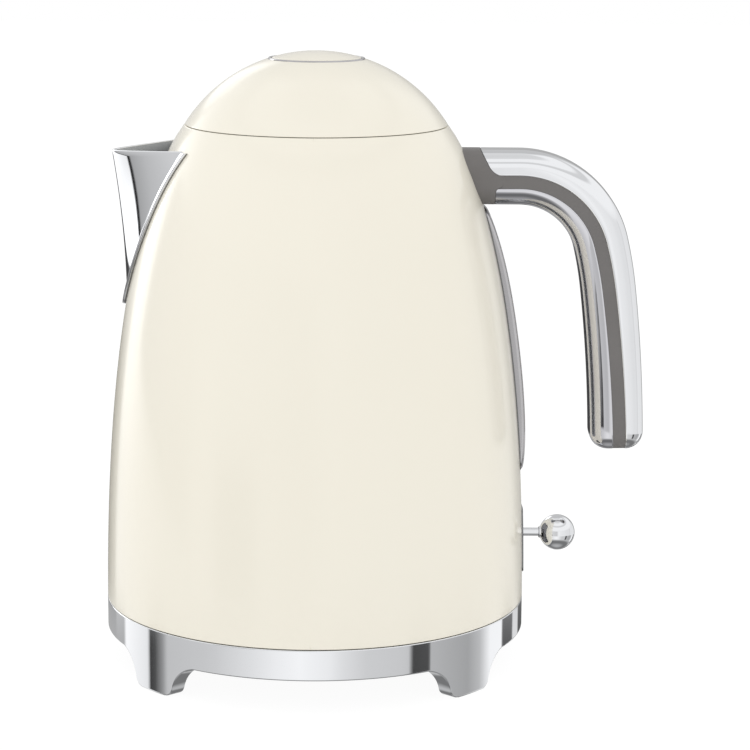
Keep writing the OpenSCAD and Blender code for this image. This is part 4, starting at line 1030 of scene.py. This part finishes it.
# ---- Other nodes keep their CAD shape ----
slot_of = {part["node"]: part["material_slot"] for part in frame["record"]["subparts"]}
body_names = {node: name for name, nodes in frame["record"]["behaviour"]["bodies"].items() for node in nodes}
for node in ("top_collar", "lid_inner", "base_deck", "base_connector", "kettle_socket", "bottom_housing",
             "base_cover", "cord_outlet", "filter_frame", "lid_seal", "heater_plate", "foot_pads"):
    smooth_copy(node, body_names[node], slot_of[node])
coil = smooth_copy("button_spring", body_names["button_spring"], slot_of["button_spring"])
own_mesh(coil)
for name, node in frame["nodes"].items():
    if not node.material_slots:
        node.data.materials.append(None)
    for place in node.material_slots:
        place.link = "OBJECT"
        place.material = FINISHES[slot_of[name]]


# ---- Floor, light and camera ----
def plain_floor():
    """A white sheet that keeps a faint shadow and that the plating looks through."""
    material = bpy.data.materials.new("pale_floor")
    material.use_nodes = True
    g = Graph(material.node_tree)
    g.tree.nodes.clear()
    path = g.tree.nodes.new("ShaderNodeLightPath")
    seen, glossy = [Wire(g, path.outputs[n]) for n in ("Is Camera Ray", "Is Glossy Ray")]
    paper = g.add("ShaderNodeBsdfDiffuse", {"Color": rgba(0.93, 0.93, 0.93)})
    white = g.add("ShaderNodeEmission", {"Color": rgba(1, 1, 1), "Strength": 1.06})
    mixed = g.add("ShaderNodeMixShader", {0: seen * 0.9, 1: paper, 2: white})
    mixed = g.add("ShaderNodeMixShader", {0: glossy, 1: mixed, 2: g.add("ShaderNodeBsdfTransparent")})
    g.add("ShaderNodeOutputMaterial", {"Surface": mixed})
    mesh = bpy.data.meshes.new("floor")
    mesh.from_pydata([(-4, -4, 0), (4, -4, 0), (4, 4, 0), (-4, 4, 0)], [], [(0, 1, 2, 3)])
    mesh.materials.append(material)
    linked("floor", mesh)


# What the plating shows, by the bearing in degrees: 0 towards the camera, positive to its right.
LOW_BANDS = [(-180, 0.45), (-130, 0.47), (-127, 1.1), (-107, 0.95), (-103, 0.9), (-102, 0.05), (-97, 0.09),
             (-91.5, 0.3), (-87, 0.6), (-61, 0.65), (-54, 0.68), (-33, 0.85), (-20, 0.98), (-7, 1.05),
             (9, 0.95), (16, 0.83), (29, 0.69), (50, 0.65), (54, 0.62), (55.5, 0.065), (65.5, 0.08),
             (67, 0.51), (94, 0.41), (104, 0.56), (114, 1.04), (127, 1.05), (128.5, 0.12), (142, 0.12),
             (144, 0.8), (154, 0.8), (156, 0.1), (180, 0.1)]
MID_BANDS = [(-180, 0.6), (-143, 0.6), (-141, 1.05), (-104, 1.1), (-94, 1.0), (-72, 0.85), (-50, 0.8),
             (-28, 0.74), (-12, 0.68), (-2, 0.68), (3, 0.9), (10, 1.0), (22, 0.93), (46, 0.9), (66, 0.85),
             (84, 0.85), (90, 0.75), (96, 0.9), (140, 0.85), (150, 0.35), (165, 0.35), (180, 0.5)]
# The same by the height in degrees, below and above those bands.
HEIGHT_BANDS = [(-90, 0.5), (-76, 0.4), (-63, 0.2), (-50, 0.2), (-43, 0.45), (-34, 0.75), (-30, 0.85),
                (15, 0.9), (22, 1.0), (40, 1.0), (44, 0.72), (50, 0.75), (54, 1.0), (68, 1.0), (74, 0.78),
                (90, 0.74)]


def studio_world():
    """Even light for the painted faces, and the bands and soft boxes that the plated ones show."""
    world = bpy.data.worlds.new("studio")
    bpy.context.scene.world = world
    world.use_nodes = True
    g = Graph(world.node_tree)
    g.tree.nodes.clear()
    path = g.tree.nodes.new("ShaderNodeLightPath")
    rays = ("Is Camera Ray", "Is Glossy Ray", "Is Transmission Ray")
    camera, glossy, clear = [Wire(g, path.outputs[ray]) for ray in rays]
    way = g.add("ShaderNodeTexCoord", out="Generated")
    parts = g.tree.nodes.new("ShaderNodeSeparateXYZ")
    g.tree.links.new(way.socket, parts.inputs[0])
    x, y, up = [Wire(g, socket) for socket in parts.outputs]
    bearing = x.maths("ARCTAN2", x, 0 - y) * (180 / math.pi)
    height = up.maths("ARCSINE", up) * (180 / math.pi)

    def bands(angle, stops):
        first, last = stops[0][0], stops[-1][0]
        scaled = [((place - first) / (last - first), value) for place, value in stops]
        return g.add("ShaderNodeValToRGB", {"Fac": (angle - first) * (1 / (last - first))}, stops=scaled)

    above_floor = bands(height, [(-90, 0), (-40, 0), (-36, 1), (90, 1)])
    low = g.mix(above_floor, bands(height, HEIGHT_BANDS), bands(bearing, LOW_BANDS))
    seen = g.mix(bands(height, [(-90, 0), (-16.3, 0), (-15.3, 1), (90, 1)]), low, bands(bearing, MID_BANDS))
    seen = g.mix(bands(height, [(-90, 0), (14, 0), (17, 1), (90, 1)]), seen, bands(height, HEIGHT_BANDS))
    window = (bands(bearing, [(-180, 0), (-144, 0), (-140, 1), (-124, 1), (-108, 0.35), (-90, 0), (180, 0)])
              * bands(height, [(-90, 0), (-16.3, 0), (-15.3, 0.1), (-11, 0.1), (-7, 0.4), (2, 1), (12, 1),
                               (24, 0.3), (34, 0), (90, 0)]))
    seen = g.mix(window, seen, rgba(2.8, 2.8, 2.8))
    off_line = height + 8 + (bearing + 90) * (1 / 6)
    left_card = bands(off_line, [(-20, 0.02), (0.2, 0.02), (1.0, 0.42), (8, 0.56), (20, 0.7)])
    on_card = (bands(off_line, [(-20, 0), (-1.2, 0), (-0.7, 1), (20, 1)])
               * bands(bearing, [(-180, 0), (-125, 0), (-121, 1), (-74, 1), (-70, 0), (180, 0)])
               * bands(height, [(-90, 1), (14, 1), (17, 0), (90, 0)]))
    seen = g.mix(on_card, seen, left_card)
    edge_flag = (bands(height, [(-90, 0), (-16.3, 0), (-15.3, 1), (-9, 1), (-4, 0), (90, 0)])
                 * bands(bearing, [(-180, 1), (-144, 1), (-142, 0), (180, 0)]))
    seen = g.mix(edge_flag, seen, rgba(0.06, 0.06, 0.06))
    back_wall = (bands(bearing, [(-180, 1), (-160, 1), (-145, 0), (145, 0), (160, 1), (180, 1)])
                 * bands(height, [(-90, 0), (10, 0), (18, 1), (60, 1), (75, 0), (90, 0)]))
    seen = g.mix(back_wall, seen, rgba(0.6, 0.6, 0.6))
    high_card = (bands(height + 11 - (bearing + 180) * 0.5, [(-20, 0), (11, 0), (14, 1), (60, 1)])
                 * bands(bearing, [(-180, 0), (-171, 0), (-166, 1), (-148, 1), (-144, 0), (180, 0)])
                 * bands(height, [(-90, 1), (28, 1), (33, 0), (90, 0)]))
    seen = g.mix(high_card, seen, rgba(1.7, 1.7, 1.7))
    flag = (bands(height, [(-90, 0), (-15, 0), (-13.5, 1), (-6, 1), (-4, 0), (90, 0)])
            * bands(bearing, [(-180, 0), (-56, 0), (-54, 1), (-32, 1), (-30.5, 0), (180, 0)]))
    seen = g.mix(flag, seen, rgba(0.02, 0.02, 0.02))
    soft = g.add("ShaderNodeBackground", {"Color": rgba(1, 1, 1), "Strength": 0.975})
    plain = g.add("ShaderNodeBackground", {"Color": rgba(1, 1, 1), "Strength": 1.0})
    mirror = g.add("ShaderNodeBackground", {"Color": seen, "Strength": 1.0})
    shown = g.add("ShaderNodeMixShader", {0: glossy, 1: soft, 2: mirror})
    shown = g.add("ShaderNodeMixShader", {0: camera.maths("MAXIMUM", camera, clear), 1: shown, 2: plain})
    g.add("ShaderNodeOutputWorld", {"Surface": shown})


def lamp(name, place, aim, width, height, watts):
    """A soft box that lights the pieces without showing in them."""
    light = bpy.data.lights.new(name, "AREA")
    light.shape = "RECTANGLE"
    light.size, light.size_y, light.energy = width, height, watts
    thing = linked(name, light)
    thing.location = place
    thing.rotation_euler = (Vector(aim) - Vector(place)).to_track_quat("-Z", "Y").to_euler()
    thing.visible_glossy = False


plain_floor()
studio_world()
lamp("left_softbox", (-1.1, -0.25, 0.75), (0, 0, 0.12), 0.5, 1.1, 0.9)
lamp("right_softbox", (1.15, 0.25, 0.7), (0, 0, 0.12), 0.4, 1.0, 0.4)
lamp("front_softbox", (0.1, -1.5, 0.9), (0, 0, 0.1), 1.0, 1.0, 1.0)

camera = linked("camera", bpy.data.cameras.new("camera"))
camera.data.sensor_width = 36
camera.data.lens = 128.35
camera.data.clip_end = 20
camera.location = (AXIS_X + 24.2 * MM, -1.0727, 0.3301)
camera.rotation_euler = (Matrix.Rotation(math.radians(90 - 11.21), 3, "X")
                         @ Matrix.Rotation(math.radians(0.39), 3, "Z")).to_euler()
bpy.context.scene.camera = camera
bpy.context.scene.view_settings.view_transform = "Standard"
